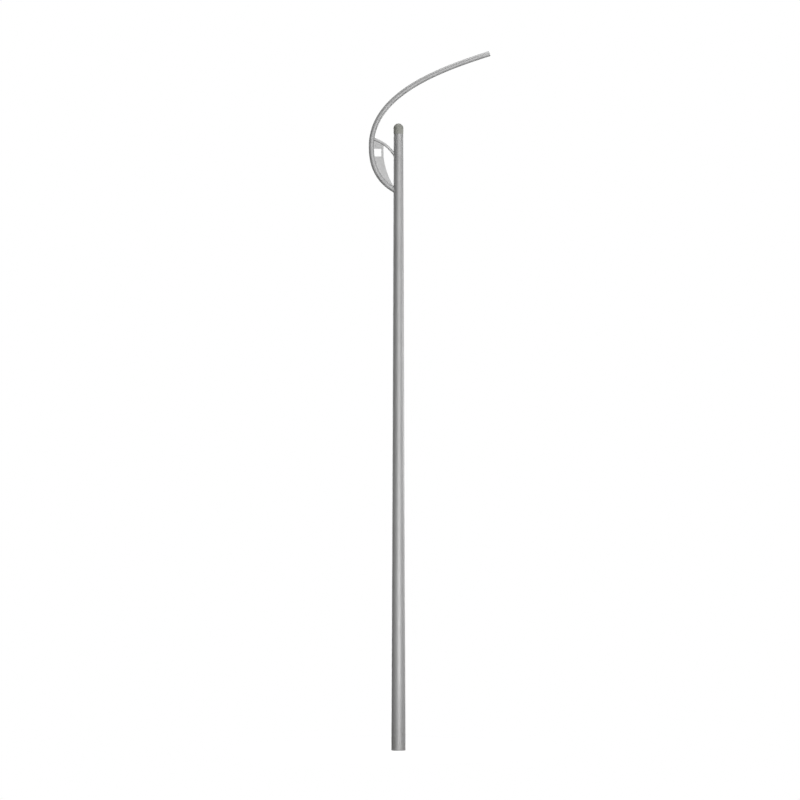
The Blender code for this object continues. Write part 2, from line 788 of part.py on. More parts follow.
def make_door_panel():
    panel = curved_panel(
        "door_panel",
        DOOR_THICKNESS,
        0.0,
        DOOR_OPENING_WIDTH - 2.0 * DOOR_CLEARANCE,
        DOOR_OPENING_HEIGHT - 2.0 * DOOR_CLEARANCE,
        DOOR_CORNER_RADIUS - DOOR_CLEARANCE,
        "column",
    )
    radius = LOCK_BARREL_RADIUS + GAP
    place = outward(LOCK_ANGLE, DOOR_MIDDLE)
    hole = rod("cut_lock_hole", radius, 0.05, 0.10, SMALL_SEGMENTS, place=place)
    return cut(panel, hole)


def hinge_axis():
    reach = column_radius(DOOR_MIDDLE) + HINGE_STANDOFF
    return Vector((math.sin(HINGE_ANGLE) * reach, math.cos(HINGE_ANGLE) * reach, 0.0))


def make_hinge_leaf(name, low, away, column_cutter):
    """A knuckle and its leaf; away is 1 for the leaf on the column and -1 for the one on the door."""
    at_axis = Matrix.Translation(hinge_axis())
    high = low + KNUCKLE_LENGTH
    leaf = rod(name, KNUCKLE_RADIUS, low, high, SMALL_SEGMENTS, "zinc", at_axis)
    turn = Matrix.Rotation(-HINGE_ANGLE, 4, "Z")
    ends = sorted((0.0, away * LEAF_LENGTH))
    plate = block(
        "add_" + name,
        (ends[0], -LEAF_INNER, low),
        (ends[1], -LEAF_OUTER, high),
        place=at_axis @ turn,
    )
    boolean(leaf, plate, "UNION")
    bore = rod(
        "cut_" + name,
        HINGE_PIN_RADIUS + GAP,
        low - OVERCUT,
        high + OVERCUT,
        SMALL_SEGMENTS,
        place=at_axis,
    )
    return cut(leaf, bore, column_cutter)


def make_hinge(where, low, column_cutter):
    """One lift-off hinge; returns the pieces that turn with the door."""
    at_axis = Matrix.Translation(hinge_axis())
    make_hinge_leaf(where + "_hinge_post_leaf", low, 1.0, column_cutter)
    base = low + KNUCKLE_LENGTH + GAP
    top = base + HINGE_WASHER_THICKNESS
    washer(
        where + "_hinge_washer",
        HINGE_PIN_RADIUS + GAP,
        KNUCKLE_RADIUS,
        base,
        top,
        SMALL_SEGMENTS,
        "brass",
        at_axis,
    )
    door_low = top + GAP
    pin_top = door_low + KNUCKLE_LENGTH - 0.002
    pin_name = where + "_hinge_pin"
    rod(pin_name, HINGE_PIN_RADIUS, low, pin_top, SMALL_SEGMENTS, "steel", at_axis)
    door_leaf = make_hinge_leaf(where + "_hinge_door_leaf", door_low, -1.0, column_cutter)
    return [door_leaf]


def make_lock():
    """Returns the pieces that stay on the door and the pieces that turn with the key."""
    place = outward(LOCK_ANGLE, DOOR_MIDDLE)
    face = column_radius(DOOR_MIDDLE) + GAP
    crown = face + LOCK_FLANGE_THICKNESS
    barrel_end = crown - LOCK_BARREL_LENGTH
    floor = crown - LOCK_RECESS_DEPTH
    bore = SPINDLE_RADIUS + GAP
    profile = [
        (bore, barrel_end),
        (LOCK_BARREL_RADIUS, barrel_end),
        (LOCK_BARREL_RADIUS, face),
        (LOCK_FLANGE_RADIUS, face),
        (LOCK_FLANGE_RADIUS, crown - 0.0007),
        (LOCK_FLANGE_RADIUS - 0.0007, crown),
        (LOCK_RECESS_RADIUS, crown),
        (LOCK_RECESS_RADIUS, floor),
        (bore, floor),
    ]
    housing = lathe("lock_housing", profile, SMALL_SEGMENTS, "zinc", place)
    top = face - DOOR_THICKNESS - LOCK_NUT_SET_BACK
    low = top - LOCK_NUT_HEIGHT
    fixing = nut(
        "lock_nut", LOCK_BARREL_RADIUS + GAP, LOCK_NUT_ACROSS_FLATS, low, top, "zinc", place
    )
    cam_front = column_radius(DOOR_MIDDLE) - CAM_SET_BACK
    spindle = make_spindle(cam_front + GAP, floor + GAP, place)
    cam = make_cam(cam_front, place)
    screw_place = place @ Matrix.Translation((0.0, 0.0, cam_front - CAM_THICKNESS - GAP))
    length = CAM_THICKNESS + CAM_SCREW_GRIP
    screw = make_screw("lock_cam_screw", screw_place, length, CAM_SCREW_RADIUS)
    return [housing, fixing], [spindle, cam, screw]


def make_spindle(low, shoulder, place):
    radius = SPINDLE_RADIUS
    spindle = rod("lock_spindle", radius, low, shoulder, SMALL_SEGMENTS, "steel", place)
    top = shoulder + KEY_HEAD_LENGTH
    head = rod("add_key_head", KEY_HEAD_RADIUS, shoulder - 0.0001, top, 3, place=place)
    boolean(spindle, head, "UNION")
    bore = CAM_SCREW_RADIUS + GAP
    end = low + CAM_SCREW_GRIP + 0.001
    hole = rod("cut_spindle_thread", bore, low - OVERCUT, end, SCREW_SEGMENTS, place=place)
    return cut(spindle, hole)


def make_cam(front, place):
    """A flat finger with round ends that hangs straight down when the door is free."""
    half = CAM_WIDTH / 2.0
    outline = []
    for i in range(9):
        angle = math.pi * i / 8.0
        outline.append((half * math.cos(angle), half * math.sin(angle)))
    for i in range(9):
        angle = math.pi + math.pi * i / 8.0
        drop = CAM_REACH - half
        outline.append((half * math.cos(angle), half * math.sin(angle) - drop))
    # extrude runs along Y, so a quarter turn makes that the lock's inward direction, up kept up
    flat = Matrix.Rotation(-math.pi / 2.0, 4, "X")
    back = front - CAM_THICKNESS
    cam = extrude("lock_cam", outline, -front, -back, "steel", place @ flat)
    ends = (back - OVERCUT, front + OVERCUT)
    hole = rod("cut_cam_hole", CAM_SCREW_RADIUS + GAP, *ends, SCREW_SEGMENTS, place=place)
    return cut(cam, hole)


def make_door():
    make_door_frame()
    make_gasket()
    panel = make_door_panel()
    low = DOOR_OPENING_BOTTOM - 0.05
    cutter = column_solid("cut_hinge_seat", GAP, low, low + DOOR_OPENING_HEIGHT + 0.1)
    lower = DOOR_OPENING_BOTTOM + HINGE_INSET
    upper = DOOR_OPENING_BOTTOM + DOOR_OPENING_HEIGHT - HINGE_INSET - 2.0 * KNUCKLE_LENGTH
    moving = [panel]
    moving += make_hinge("lower", lower, cutter)
    moving += make_hinge("upper", upper, cutter)
    fixed_to_door, turning = make_lock()
    axis = hinge_axis()
    door_pivot = hang_on("pivot_door", (axis.x, axis.y, DOOR_MIDDLE), moving + fixed_to_door)
    lock_point = outward(LOCK_ANGLE, DOOR_MIDDLE) @ Vector((0.0, 0.0, column_radius(DOOR_MIDDLE)))
    lock_pivot = hang_on("pivot_lock", lock_point, turning)
    lock_pivot.parent = door_pivot
    lock_pivot.matrix_parent_inverse = Matrix.Translation(-door_pivot.location)


# ---- equipment --------------------------------------------------------------------------------


def make_screw(name, place, length, radius=SCREW_RADIUS):
    """A pan-head screw whose head lies below local Z = 0 and whose shank runs up from it."""
    head = SCREW_HEAD_RADIUS
    profile = [
        (0.0, -SCREW_HEAD_HEIGHT),
        (head * 0.75, -SCREW_HEAD_HEIGHT),
        (head, -SCREW_HEAD_HEIGHT * 0.45),
        (head, 0.0),
        (radius, 0.0),
        (radius, length),
        (0.0, length),
    ]
    return lathe(name, profile, SCREW_SEGMENTS, "zinc", place)


def facing_back(x, y, z):
    """A frame whose local Z runs towards -Y, into the board."""
    return Matrix.Translation((x, y, z)) @ Matrix.Rotation(math.pi / 2.0, 4, "X")


def drill(target, name, x, z, radius, low_y, high_y):
    """A round hole along Y."""
    place = facing_back(x, high_y, z)
    hole = rod(name, radius, 0.0, high_y - low_y, SCREW_SEGMENTS, place=place)
    return cut(target, hole)


def make_bracket(name, middle):
    """A channel that stands on the column's inner wall and carries the board."""
    web_front = BOARD_FRONT_Y - BOARD_THICKNESS - GAP
    half = BRACKET_WIDTH / 2.0
    low_z = middle - BRACKET_HEIGHT / 2.0
    high_z = middle + BRACKET_HEIGHT / 2.0
    low = (-half, -FOOT_DIAMETER / 2.0, low_z)
    bracket = block(name, low, (half, web_front, high_z), "zinc")
    inside = half - BRACKET_THICKNESS
    hollow_low = (-inside, -FOOT_DIAMETER, low_z - OVERCUT)
    hollow_high = (inside, web_front - BRACKET_THICKNESS, high_z + OVERCUT)
    cut(bracket, block("cut_inside_" + name, hollow_low, hollow_high))
    wall = column_solid("keep_" + name, -SHAFT_WALL - GAP, low_z - OVERCUT, high_z + OVERCUT)
    boolean(bracket, wall, "INTERSECT")
    return bracket


def make_board():
    low_z = DOOR_MIDDLE - BOARD_HEIGHT / 2.0
    back = BOARD_FRONT_Y - BOARD_THICKNESS
    half = BOARD_WIDTH / 2.0
    high = (half, BOARD_FRONT_Y, low_z + BOARD_HEIGHT)
    board = block("equipment_board", (-half, back, low_z), high, "board")
    heights = {
        "lower": low_z + BRACKET_INSET,
        "upper": low_z + BOARD_HEIGHT - BRACKET_INSET,
    }
    hole = SCREW_RADIUS + GAP
    count = 0
    for where, middle in heights.items():
        bracket = make_bracket("board_bracket_" + where, middle)
        for side in (-1.0, 1.0):
            count += 1
            x = side * BOARD_SCREW_SPACING / 2.0
            for target in (board, bracket):
                tag = f"cut_{target.name}_{count}"
                drill(target, tag, x, middle, hole, back - 2.0 * OVERCUT, BOARD_FRONT_Y + OVERCUT)
            place = facing_back(x, BOARD_FRONT_Y + GAP, middle)
            make_screw(f"board_screw_{count}", place, BOARD_SCREW_LENGTH)
    return board


def make_rail(board):
    """A top-hat rail across the board."""
    back = BOARD_FRONT_Y + GAP
    front = back + RAIL_DEPTH
    outer = RAIL_HEIGHT / 2.0
    waist = RAIL_CHANNEL / 2.0
    t = RAIL_SHEET
    # Half of the section as (height, y), from the middle of the back out to the flange and home
    half = [(waist, back), (waist, front - t), (outer, front - t), (outer, front)]
    half += [(waist - t, front), (waist - t, back + t)]
    section = half + [(-height, y) for height, y in reversed(half)]
    # extrude runs along Y from an (x, z) outline, so a turn about Z lays the rail along X
    length = RAIL_LENGTH / 2.0
    outline = [(y, height) for height, y in section]
    turn = Matrix.Rotation(math.pi / 2.0, 4, "Z")
    place = Matrix.Translation((0.0, 0.0, RAIL_MIDDLE)) @ turn
    rail = extrude("din_rail", outline, -length, length, "zinc", place)
    for i, side in enumerate((-1.0, 1.0)):
        x = side * RAIL_SCREW_SPACING / 2.0
        for target in (rail, board):
            tag = f"cut_rail_{target.name}_{i + 1}"
            low_y = BOARD_FRONT_Y - BOARD_THICKNESS - OVERCUT
            radius = SCREW_RADIUS + GAP
            drill(target, tag, x, RAIL_MIDDLE, radius, low_y, back + t + SCREW_HEAD_HEIGHT)
        place = facing_back(x, back + t + GAP, RAIL_MIDDLE)
        make_screw(f"din_rail_screw_{i + 1}", place, RAIL_SCREW_LENGTH)
    return front


def make_breaker(rail_front):
    """A two-module switch clipped on the rail, with a lever on its nose."""
    half = BREAKER_WIDTH / 2.0
    tall = BREAKER_HEIGHT / 2.0
    nose = BREAKER_NOSE_HEIGHT / 2.0
    back = rail_front - BREAKER_BEHIND_RAIL
    shoulder = BREAKER_FRONT_Y - BREAKER_NOSE_DEPTH
    body = block(
        "breaker_body",
        (-half, back, RAIL_MIDDLE - tall),
        (half, BREAKER_FRONT_Y, RAIL_MIDDLE + tall),
        "breaker",
    )
    for tag, low, high in (
        ("upper", RAIL_MIDDLE + nose, RAIL_MIDDLE + 2.0 * tall),
        ("lower", RAIL_MIDDLE - 2.0 * tall, RAIL_MIDDLE - nose),
    ):
        step = block(
            "cut_breaker_" + tag,
            (-2.0 * half, shoulder, low),
            (2.0 * half, 2.0 * TERMINAL_WIDTH, high),
        )
        cut(body, step)
    recess = RAIL_HEIGHT / 2.0 + 2.0 * GAP
    clip = block(
        "cut_breaker_clip",
        (-2.0 * half, back - OVERCUT, RAIL_MIDDLE - recess),
        (2.0 * half, rail_front + GAP, RAIL_MIDDLE + recess),
    )
    cut(body, clip)
    pocket_half = TOGGLE_WIDTH / 2.0 + TOGGLE_SIDE_CLEARANCE
    pocket = rod(
        "cut_breaker_pocket",
        TOGGLE_RADIUS + 0.001,
        -pocket_half,
        pocket_half,
        SMALL_SEGMENTS,
        place=toggle_place(),
    )
    cut(body, pocket)
    return body


def toggle_place():
    """A frame at the lever's pivot whose local Z runs along X."""
    point = (0.0, BREAKER_FRONT_Y - 0.001, RAIL_MIDDLE)
    return Matrix.Translation(point) @ Matrix.Rotation(math.pi / 2.0, 4, "Y")


def make_toggle():
    half = TOGGLE_WIDTH / 2.0
    toggle = rod(
        "breaker_toggle", TOGGLE_RADIUS, -half, half, SMALL_SEGMENTS, "toggle", toggle_place()
    )
    point = Vector((0.0, BREAKER_FRONT_Y - 0.001, RAIL_MIDDLE))
    turn = Matrix.Translation(point) @ Matrix.Rotation(TOGGLE_TILT, 4, "X")
    lever = block(
        "add_toggle_lever",
        (-half, 0.0, -TOGGLE_THICKNESS / 2.0),
        (half, TOGGLE_REACH, TOGGLE_THICKNESS / 2.0),
        place=turn,
    )
    boolean(toggle, lever, "UNION")
    hang_on("pivot_toggle", point, [toggle])


def make_terminal_block(board):
    half = TERMINAL_WIDTH / 2.0
    back = BOARD_FRONT_Y + GAP
    front = back + TERMINAL_DEPTH
    low_z = TERMINAL_MIDDLE - TERMINAL_HEIGHT / 2.0
    high_z = TERMINAL_MIDDLE + TERMINAL_HEIGHT / 2.0
    terminal = block("terminal_block", (-half, back, low_z), (half, front, high_z), "breaker")
    first = -TERMINAL_PITCH * (TERMINAL_WAYS - 1) / 2.0
    for i in range(TERMINAL_WAYS):
        centre = (first + i * TERMINAL_PITCH, back + TERMINAL_DEPTH * 0.45, TERMINAL_MIDDLE)
        hole = rod(
            f"cut_terminal_way_{i + 1}",
            TERMINAL_HOLE_RADIUS,
            -TERMINAL_HEIGHT,
            TERMINAL_HEIGHT,
            SCREW_SEGMENTS,
            place=Matrix.Translation(centre),
        )
        cut(terminal, hole)
    ear_front = back + TERMINAL_EAR_THICKNESS
    for i, side in enumerate((-1.0, 1.0)):
        x = side * TERMINAL_SCREW_SPACING / 2.0
        ends = sorted((x - side * (SCREW_HEAD_RADIUS + 0.001), side * TERMINAL_WIDTH))
        step = block(
            f"cut_terminal_ear_{i + 1}",
            (ends[0], ear_front, low_z - OVERCUT),
            (ends[1], front + OVERCUT, high_z + OVERCUT),
        )
        cut(terminal, step)
        for target in (terminal, board):
            tag = f"cut_terminal_{target.name}_{i + 1}"
            low_y = BOARD_FRONT_Y - BOARD_THICKNESS - OVERCUT
            drill(target, tag, x, TERMINAL_MIDDLE, SCREW_RADIUS + GAP, low_y, front)
        place = facing_back(x, ear_front + GAP, TERMINAL_MIDDLE)
        make_screw(f"terminal_screw_{i + 1}", place, TERMINAL_SCREW_LENGTH)
    return terminal


def make_earth_stud():
    """An earthing stud on the column's inner wall, with its washer and nut."""
    place = outward(math.pi / 2.0, EARTH_STUD_HEIGHT)
    end = column_radius(EARTH_STUD_HEIGHT) - SHAFT_WALL - EARTH_STUD_END_GAP
    start = end - EARTH_STUD_LENGTH
    rod("earth_stud", EARTH_STUD_RADIUS, start, end, SMALL_SEGMENTS, "brass", place)
    low = start + EARTH_WASHER_OFFSET
    high = low + EARTH_WASHER_THICKNESS
    bore = EARTH_STUD_RADIUS + GAP
    washer("earth_washer", bore, EARTH_WASHER_RADIUS, low, high, SMALL_SEGMENTS, "brass", place)
    top = low - GAP
    low = top - EARTH_NUT_HEIGHT
    nut("earth_nut", bore, EARTH_NUT_ACROSS_FLATS, low, top, "brass", place)


def make_equipment():
    board = make_board()
    rail_front = make_rail(board)
    make_breaker(rail_front)
    make_toggle()
    make_terminal_block(board)
    make_earth_stud()


def main():
    clear_scene()
    make_base_section()
    make_backing_ring()
    make_shaft(make_arm_cable_hole())
    make_foot_plate()
    make_arm()
    make_finial()
    make_door()
    make_equipment()


main()
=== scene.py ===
"""The looks of the street lamp post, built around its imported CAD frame. Metres, +Z up.

The pieces that show from outside are rebuilt finely, every CAD node gets a procedural material, and
weld beads close the joints that the frame leaves open by a hair.
"""

import json
import math

import bmesh
import bpy
from mathutils import Matrix, Vector


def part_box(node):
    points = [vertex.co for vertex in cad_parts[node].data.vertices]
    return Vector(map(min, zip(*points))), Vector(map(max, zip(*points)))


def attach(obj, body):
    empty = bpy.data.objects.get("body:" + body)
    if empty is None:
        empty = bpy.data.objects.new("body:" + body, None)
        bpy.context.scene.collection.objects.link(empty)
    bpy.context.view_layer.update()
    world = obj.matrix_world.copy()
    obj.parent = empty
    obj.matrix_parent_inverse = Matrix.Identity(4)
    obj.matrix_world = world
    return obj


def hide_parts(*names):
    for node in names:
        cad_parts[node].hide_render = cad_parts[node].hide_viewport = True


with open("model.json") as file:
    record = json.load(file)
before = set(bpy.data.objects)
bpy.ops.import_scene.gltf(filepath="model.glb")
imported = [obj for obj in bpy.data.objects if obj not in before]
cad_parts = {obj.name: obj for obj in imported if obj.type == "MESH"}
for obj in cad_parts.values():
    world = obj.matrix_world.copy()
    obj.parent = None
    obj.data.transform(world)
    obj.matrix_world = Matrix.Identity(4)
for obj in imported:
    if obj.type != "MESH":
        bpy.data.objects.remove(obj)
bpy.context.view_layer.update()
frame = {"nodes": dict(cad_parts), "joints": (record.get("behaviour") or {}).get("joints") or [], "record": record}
NODES = frame["nodes"]

# ---- places, read from the frame ----------------------------------------------------------------

MOUNTS = {mount["name"]: mount for mount in frame["record"]["mounts"]}
DOOR_JOINT = next(joint for joint in frame["joints"] if joint["name"] == "door_hinge")
GAP = 0.0003  # what the frame leaves between touching pieces

SHAFT_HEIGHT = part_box("pole_shaft")[1].z
FOOT_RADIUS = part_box("base_section")[1].x
COLLAR_LOW, COLLAR_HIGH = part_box("finial_collar")
BALL_LOW, BALL_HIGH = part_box("finial_ball")
BOW_LOW, BOW_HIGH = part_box("bow_arm")
BOW_RADIUS = BOW_HIGH.y
GUSSET_HALF_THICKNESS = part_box("gusset_plate")[1].y
DOOR_LOW, DOOR_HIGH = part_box("door_panel")

# ---- sizes that the frame's boxes don't give ----------------------------------------------------

SHAFT_WALL = 0.004
TOP_RADIUS = 0.0545
BOW_WALL = 0.0035
BRACE_RADIUS = 0.01685
BRACE_WALL = 0.0026
BALL_RADIUS = 0.0576
BALL_WALL = 0.003
FINIAL_BORE = 0.0053
DOOR_CLEARANCE = 0.0015
DOOR_CORNER_RADIUS = 0.022
DOOR_THICKNESS = 0.0025
ARM_HOLE_RADIUS = 0.0168
GRUB_HOLE_RADIUS = 0.004
GRUB_HOLE_HEIGHT = 7.045
LOCK_HOLE_RADIUS = 0.0083
LOCK_ANGLE = math.radians(-17.0)
LOCK_FLANGE_RADIUS = 0.0105
LOCK_BARREL_RADIUS = 0.008
LOCK_DEPTH = 0.0114
LOCK_RECESS_RADIUS = 0.0065
LOCK_RECESS_DEPTH = 0.005
LOCK_BORE = 0.0043
HINGE_ANGLE = math.radians(36.5)
KNUCKLE_RADIUS = 0.006
KNUCKLE_BORE = 0.0033
LEAF_LENGTH = 0.019
LEAF_OUTER = 0.0035
LEAF_INNER = 0.0130
LEAF_MIDDLE = 0.008
LEAF_ROOT = 0.75 * KNUCKLE_RADIUS
LEAF_WELD_START = 0.45 * LEAF_LENGTH

TIP = Vector((MOUNTS["luminaire_spigot"]["pos_m"][0], 0.0, MOUNTS["luminaire_spigot"]["pos_m"][2]))
TIP_WAY = Vector(MOUNTS["luminaire_spigot"]["axis"]).normalized()
BOW_FOOT = Vector((-0.051, 0.0, 6.435))
BOW_FOOT_WAY = Vector((-math.cos(math.radians(30.0)), 0.0, 0.5))
BOW_SIDE = Vector((BOW_LOW.x + BOW_RADIUS, 0.0, 6.937))
BOW_LOWER = (
    BOW_FOOT,
    BOW_FOOT + 0.302 * BOW_FOOT_WAY,
    BOW_SIDE - Vector((0.0, 0.0, 0.092)),
    BOW_SIDE,
)
BOW_UPPER = (BOW_SIDE, BOW_SIDE + Vector((0.0, 0.0, 0.607)), TIP - 0.567 * TIP_WAY, TIP)
COPE_DEPTH = 0.046
COPE_LOW = BOW_FOOT.z - 0.2
BRACE_CENTRE = Vector((-0.4112, 0.0, 6.6063))
BRACE_ARC_RADIUS = 0.4305
BRACE_START = math.radians(13.8)
BRACE_END = math.radians(64.0)
GUSSET_EDGE_X = -0.171
GUSSET_KNEE = Vector((GUSSET_EDGE_X, 0.0, 6.812))
GUSSET_BEND = Vector((-0.144, 0.0, 6.601))
GUSSET_FOOT = Vector((-0.029, 0.0, 6.435))
GUSSET_TOP = 6.995
GUSSET_MIDDLE = Vector((-0.22, 0.0, 6.80))
WINDOW_LEFT = -0.295
WINDOW_RIGHT = GUSSET_EDGE_X - 0.026
WINDOW_BOTTOM = 6.818
WINDOW_TOP = 6.905

BREAKER_SHOULDER = 0.016  # how far its sides stand back from its nose
BREAKER_NOSE = 0.0225
WELL_RADIUS = 0.0034
WELL_SIDE = 0.009
WELL_RISE = 0.0325
VENT_FLOOR = 0.0172
VENT_REAR, VENT_FRONT = -0.022, -0.008
VENT_PITCH = 0.0035
VENT_HEIGHT = 0.0014

BOW_WELD = 0.0032
BRACE_WELD = 0.0022
GUSSET_WELD = 0.0017
HINGE_WELD = 0.0011
RIPPLE_LENGTH = 0.0036

FINE_ROUND = 144
TUBE_ROUND = 40
BRACE_ROUND = 28
EDGE_ANGLE = math.radians(34.0)


def column_radius(height):
    return FOOT_RADIUS - (FOOT_RADIUS - TOP_RADIUS) * height / SHAFT_HEIGHT


# ---- mesh tools ---------------------------------------------------------------------------------


def finish_mesh(name, bm, smooth_angle=EDGE_ANGLE):
    bmesh.ops.recalc_face_normals(bm, faces=bm.faces[:])
    mesh = bpy.data.meshes.new(name)
    bm.to_mesh(mesh)
    bm.free()
    mesh.shade_smooth()
    mesh.set_sharp_from_angle(angle=smooth_angle)
    made = bpy.data.objects.new(name, mesh)
    bpy.context.scene.collection.objects.link(made)
    return made


def loft(name, rings, smooth_angle=EDGE_ANGLE):
    """Skin rings in turn and back to the first. A ring of one point is an apex."""
    bm = bmesh.new()
    loops = [[bm.verts.new(point) for point in points] for points in rings]
    for here, there in zip(loops, loops[1:] + loops[:1]):
        if len(here) == 1 and len(there) == 1:
            continue
        for i in range(max(len(here), len(there))):
            corners = [here[i % len(here)], here[(i + 1) % len(here)]]
            corners += [there[(i + 1) % len(there)], there[i % len(there)]]
            bm.faces.new(list(dict.fromkeys(corners)))
    return finish_mesh(name, bm, smooth_angle)


def ring(radius, height, segments):
    if radius == 0.0:
        return [Vector((0.0, 0.0, height))]
    turns = [2.0 * math.pi * i / segments for i in range(segments)]
    return [Vector((radius * math.cos(a), radius * math.sin(a), height)) for a in turns]


def lathe(name, profile, segments, place=None):
    made = loft(name, [ring(radius, height, segments) for radius, height in profile])
    if place is not None:
        made.data.transform(place)
    return made


def extrude(name, outline, low, high):
    """A prism of (x, z) points along Y."""
    bm = bmesh.new()
    face = bm.faces.new([bm.verts.new((x, low, z)) for x, z in outline])
    grown = bmesh.ops.extrude_face_region(bm, geom=[face])
    far = [item for item in grown["geom"] if isinstance(item, bmesh.types.BMVert)]
    bmesh.ops.translate(bm, vec=(0.0, high - low, 0.0), verts=far)
    return finish_mesh(name, bm)


def block_at(name, low, high):
    outline = [(low[0], low[2]), (high[0], low[2]), (high[0], high[2]), (low[0], high[2])]
    return extrude(name, outline, low[1], high[1])


def spans(low, high, count):
    return [low + (high - low) * i / count for i in range(count + 1)]


def arc(radius, start, end, count, across=0.0, height=0.0):
    """A stretch of a lathe's profile round (across, height), its angles counted up from level."""
    points = []
    for angle in spans(start, end, count):
        reach = across + radius * math.cos(angle)
        points.append((0.0 if abs(reach) < 1e-9 else reach, height + radius * math.sin(angle)))
    return points


def rounded_rectangle(width, height, radius, middle, steps=10):
    outline = []
    for quarter in range(4):
        side_x = 1.0 if quarter in (0, 3) else -1.0
        side_z = 1.0 if quarter in (0, 1) else -1.0
        for step in range(steps + 1):
            angle = (quarter + step / steps) * math.pi / 2.0
            x = side_x * (width / 2.0 - radius) + radius * math.cos(angle)
            z = side_z * (height / 2.0 - radius) + radius * math.sin(angle)
            outline.append((x, middle + z))
    return outline


def shape_by(target, tools, operation="DIFFERENCE"):
    """Apply Booleans now and remove their tools, so that no cutter is left in the scene."""
    for tool in tools:
        made = target.modifiers.new(tool.name, "BOOLEAN")
        made.operation = operation
        made.object = tool
    settle(target)
    for tool in tools:
        bpy.data.objects.remove(tool, do_unlink=True)
    return target


def settle(target):
    """Apply an object's modifiers to its mesh."""
    bpy.context.view_layer.update()
    seen = target.evaluated_get(bpy.context.evaluated_depsgraph_get())
    shaped = bpy.data.meshes.new_from_object(seen)
    target.modifiers.clear()
    target.data = shaped
    return target


def soften(target, width, segments=2, angle=35.0):
    made = target.modifiers.new("soft_edges", "BEVEL")
    made.width = width
    made.segments = segments
    made.limit_method = "ANGLE"
    made.angle_limit = math.radians(angle)
    made.harden_normals = True
    return target


def round_normals(target):
    """Give the column's curved faces the normals of the true cone, whatever cuts run through them."""
    mesh = target.data
    lean = (FOOT_RADIUS - TOP_RADIUS) / SHAFT_HEIGHT
    normals = []
    for polygon in mesh.polygons:
        for index in polygon.loop_indices:
            point = mesh.vertices[mesh.loops[index].vertex_index].co
            out = Vector((point.x, point.y, 0.0)).normalized()
            out = Vector((out.x, out.y, lean)).normalized()
            along = polygon.normal.dot(out)
            if abs(along) > 0.985:
                normals.append(out if along > 0.0 else -out)
            else:
                normals.append(polygon.normal.copy())
    mesh.normals_split_custom_set(normals)
    return target


def outward(angle, height):
    """A frame on the column's axis whose local Z points outward, angle counted from +Y to +X."""
    out = Vector((math.sin(angle), math.cos(angle), 0.0))
    up = Vector((0.0, 0.0, 1.0))
    turn = Matrix((up.cross(out), up, out)).transposed().to_4x4()
    return Matrix.Translation((0.0, 0.0, height)) @ turn


def along(point, direction):
    out = Vector(direction).normalized()
    side = Vector((0.0, 1.0, 0.0))
    turn = Matrix((side, out.cross(side), out)).transposed().to_4x4()
    return Matrix.Translation(point) @ turn


def rod_tool(name, radius, low, high, place):
    profile = [(0.0, low), (radius, low), (radius, high), (0.0, high)]
    return lathe(name, profile, 48, place)


# ---- curves -------------------------------------------------------------------------------------


def bezier(points, t):
    a, b, c, d = points
    s = 1.0 - t
    return s * s * s * a + 3.0 * s * s * t * b + 3.0 * s * t * t * c + t * t * t * d


def bow_point(u):
    """The bow's centre line: -1..0 inside the column, 0..1 the lower curve, 1..2 the upper."""
    if u < 0.0:
        return BOW_FOOT + u * COPE_DEPTH * BOW_FOOT_WAY
    if u < 1.0:
        return bezier(BOW_LOWER, u)
    return bezier(BOW_UPPER, min(u - 1.0, 1.0))


def brace_point(u):
    angle = BRACE_START + (BRACE_END - BRACE_START) * u
    return BRACE_CENTRE + BRACE_ARC_RADIUS * Vector((math.sin(angle), 0.0, math.cos(angle)))


def brace_at(x):
    """How far along the brace its centre line passes a given x."""
    angle = math.asin((x - BRACE_CENTRE.x) / BRACE_ARC_RADIUS)
    return (angle - BRACE_START) / (BRACE_END - BRACE_START)


def skin_point(curve, u, turn, radius):
    """A point on the tube around a curve, turn counted round from the curve's own plane."""
    step = 0.002
    way = (curve(u + step) - curve(u - step)).normalized()
    if way.length < 0.5:
        way = (curve(u) - curve(u - step)).normalized()
    across = way.cross(Vector((0.0, 1.0, 0.0)))
    side = Vector((0.0, 1.0, 0.0))
    return curve(u) + radius * (math.cos(turn) * across + math.sin(turn) * side)


def skin_ring(curve, u, radius, segments):
    return [skin_point(curve, u, 2.0 * math.pi * k / segments, radius) for k in range(segments)]


BOW_STATIONS = [-1.0] + spans(0.0, 1.0, 40)[:-1] + spans(1.0, 2.0, 90)
BRACE_STATIONS = spans(0.0, 1.0, 48)


def tube(name, curve, stations, radius, wall, segments):
    outer = [skin_ring(curve, u, radius, segments) for u in stations]
    inner = [skin_ring(curve, u, radius - wall, segments) for u in stations]
    return loft(name, outer + inner[::-1])


def solid_tube(name, curve, stations, radius, segments):
    rings = [[curve(stations[0])]]
    rings += [skin_ring(curve, u, radius, segments) for u in stations]
    rings += [[curve(stations[-1])]]
    return loft(name, rings)


def bow_tool():
    return solid_tube("tool_bow", bow_point, BOW_STATIONS, BOW_RADIUS + GAP, TUBE_ROUND)


def column_tool(low, high, grown_by=GAP):
    profile = [
        (0.0, low),
        (column_radius(low) + grown_by, low),
        (column_radius(high) + grown_by, high),
        (0.0, high),
    ]
    return lathe("tool_column", profile, FINE_ROUND)


# ---- materials ----------------------------------------------------------------------------------


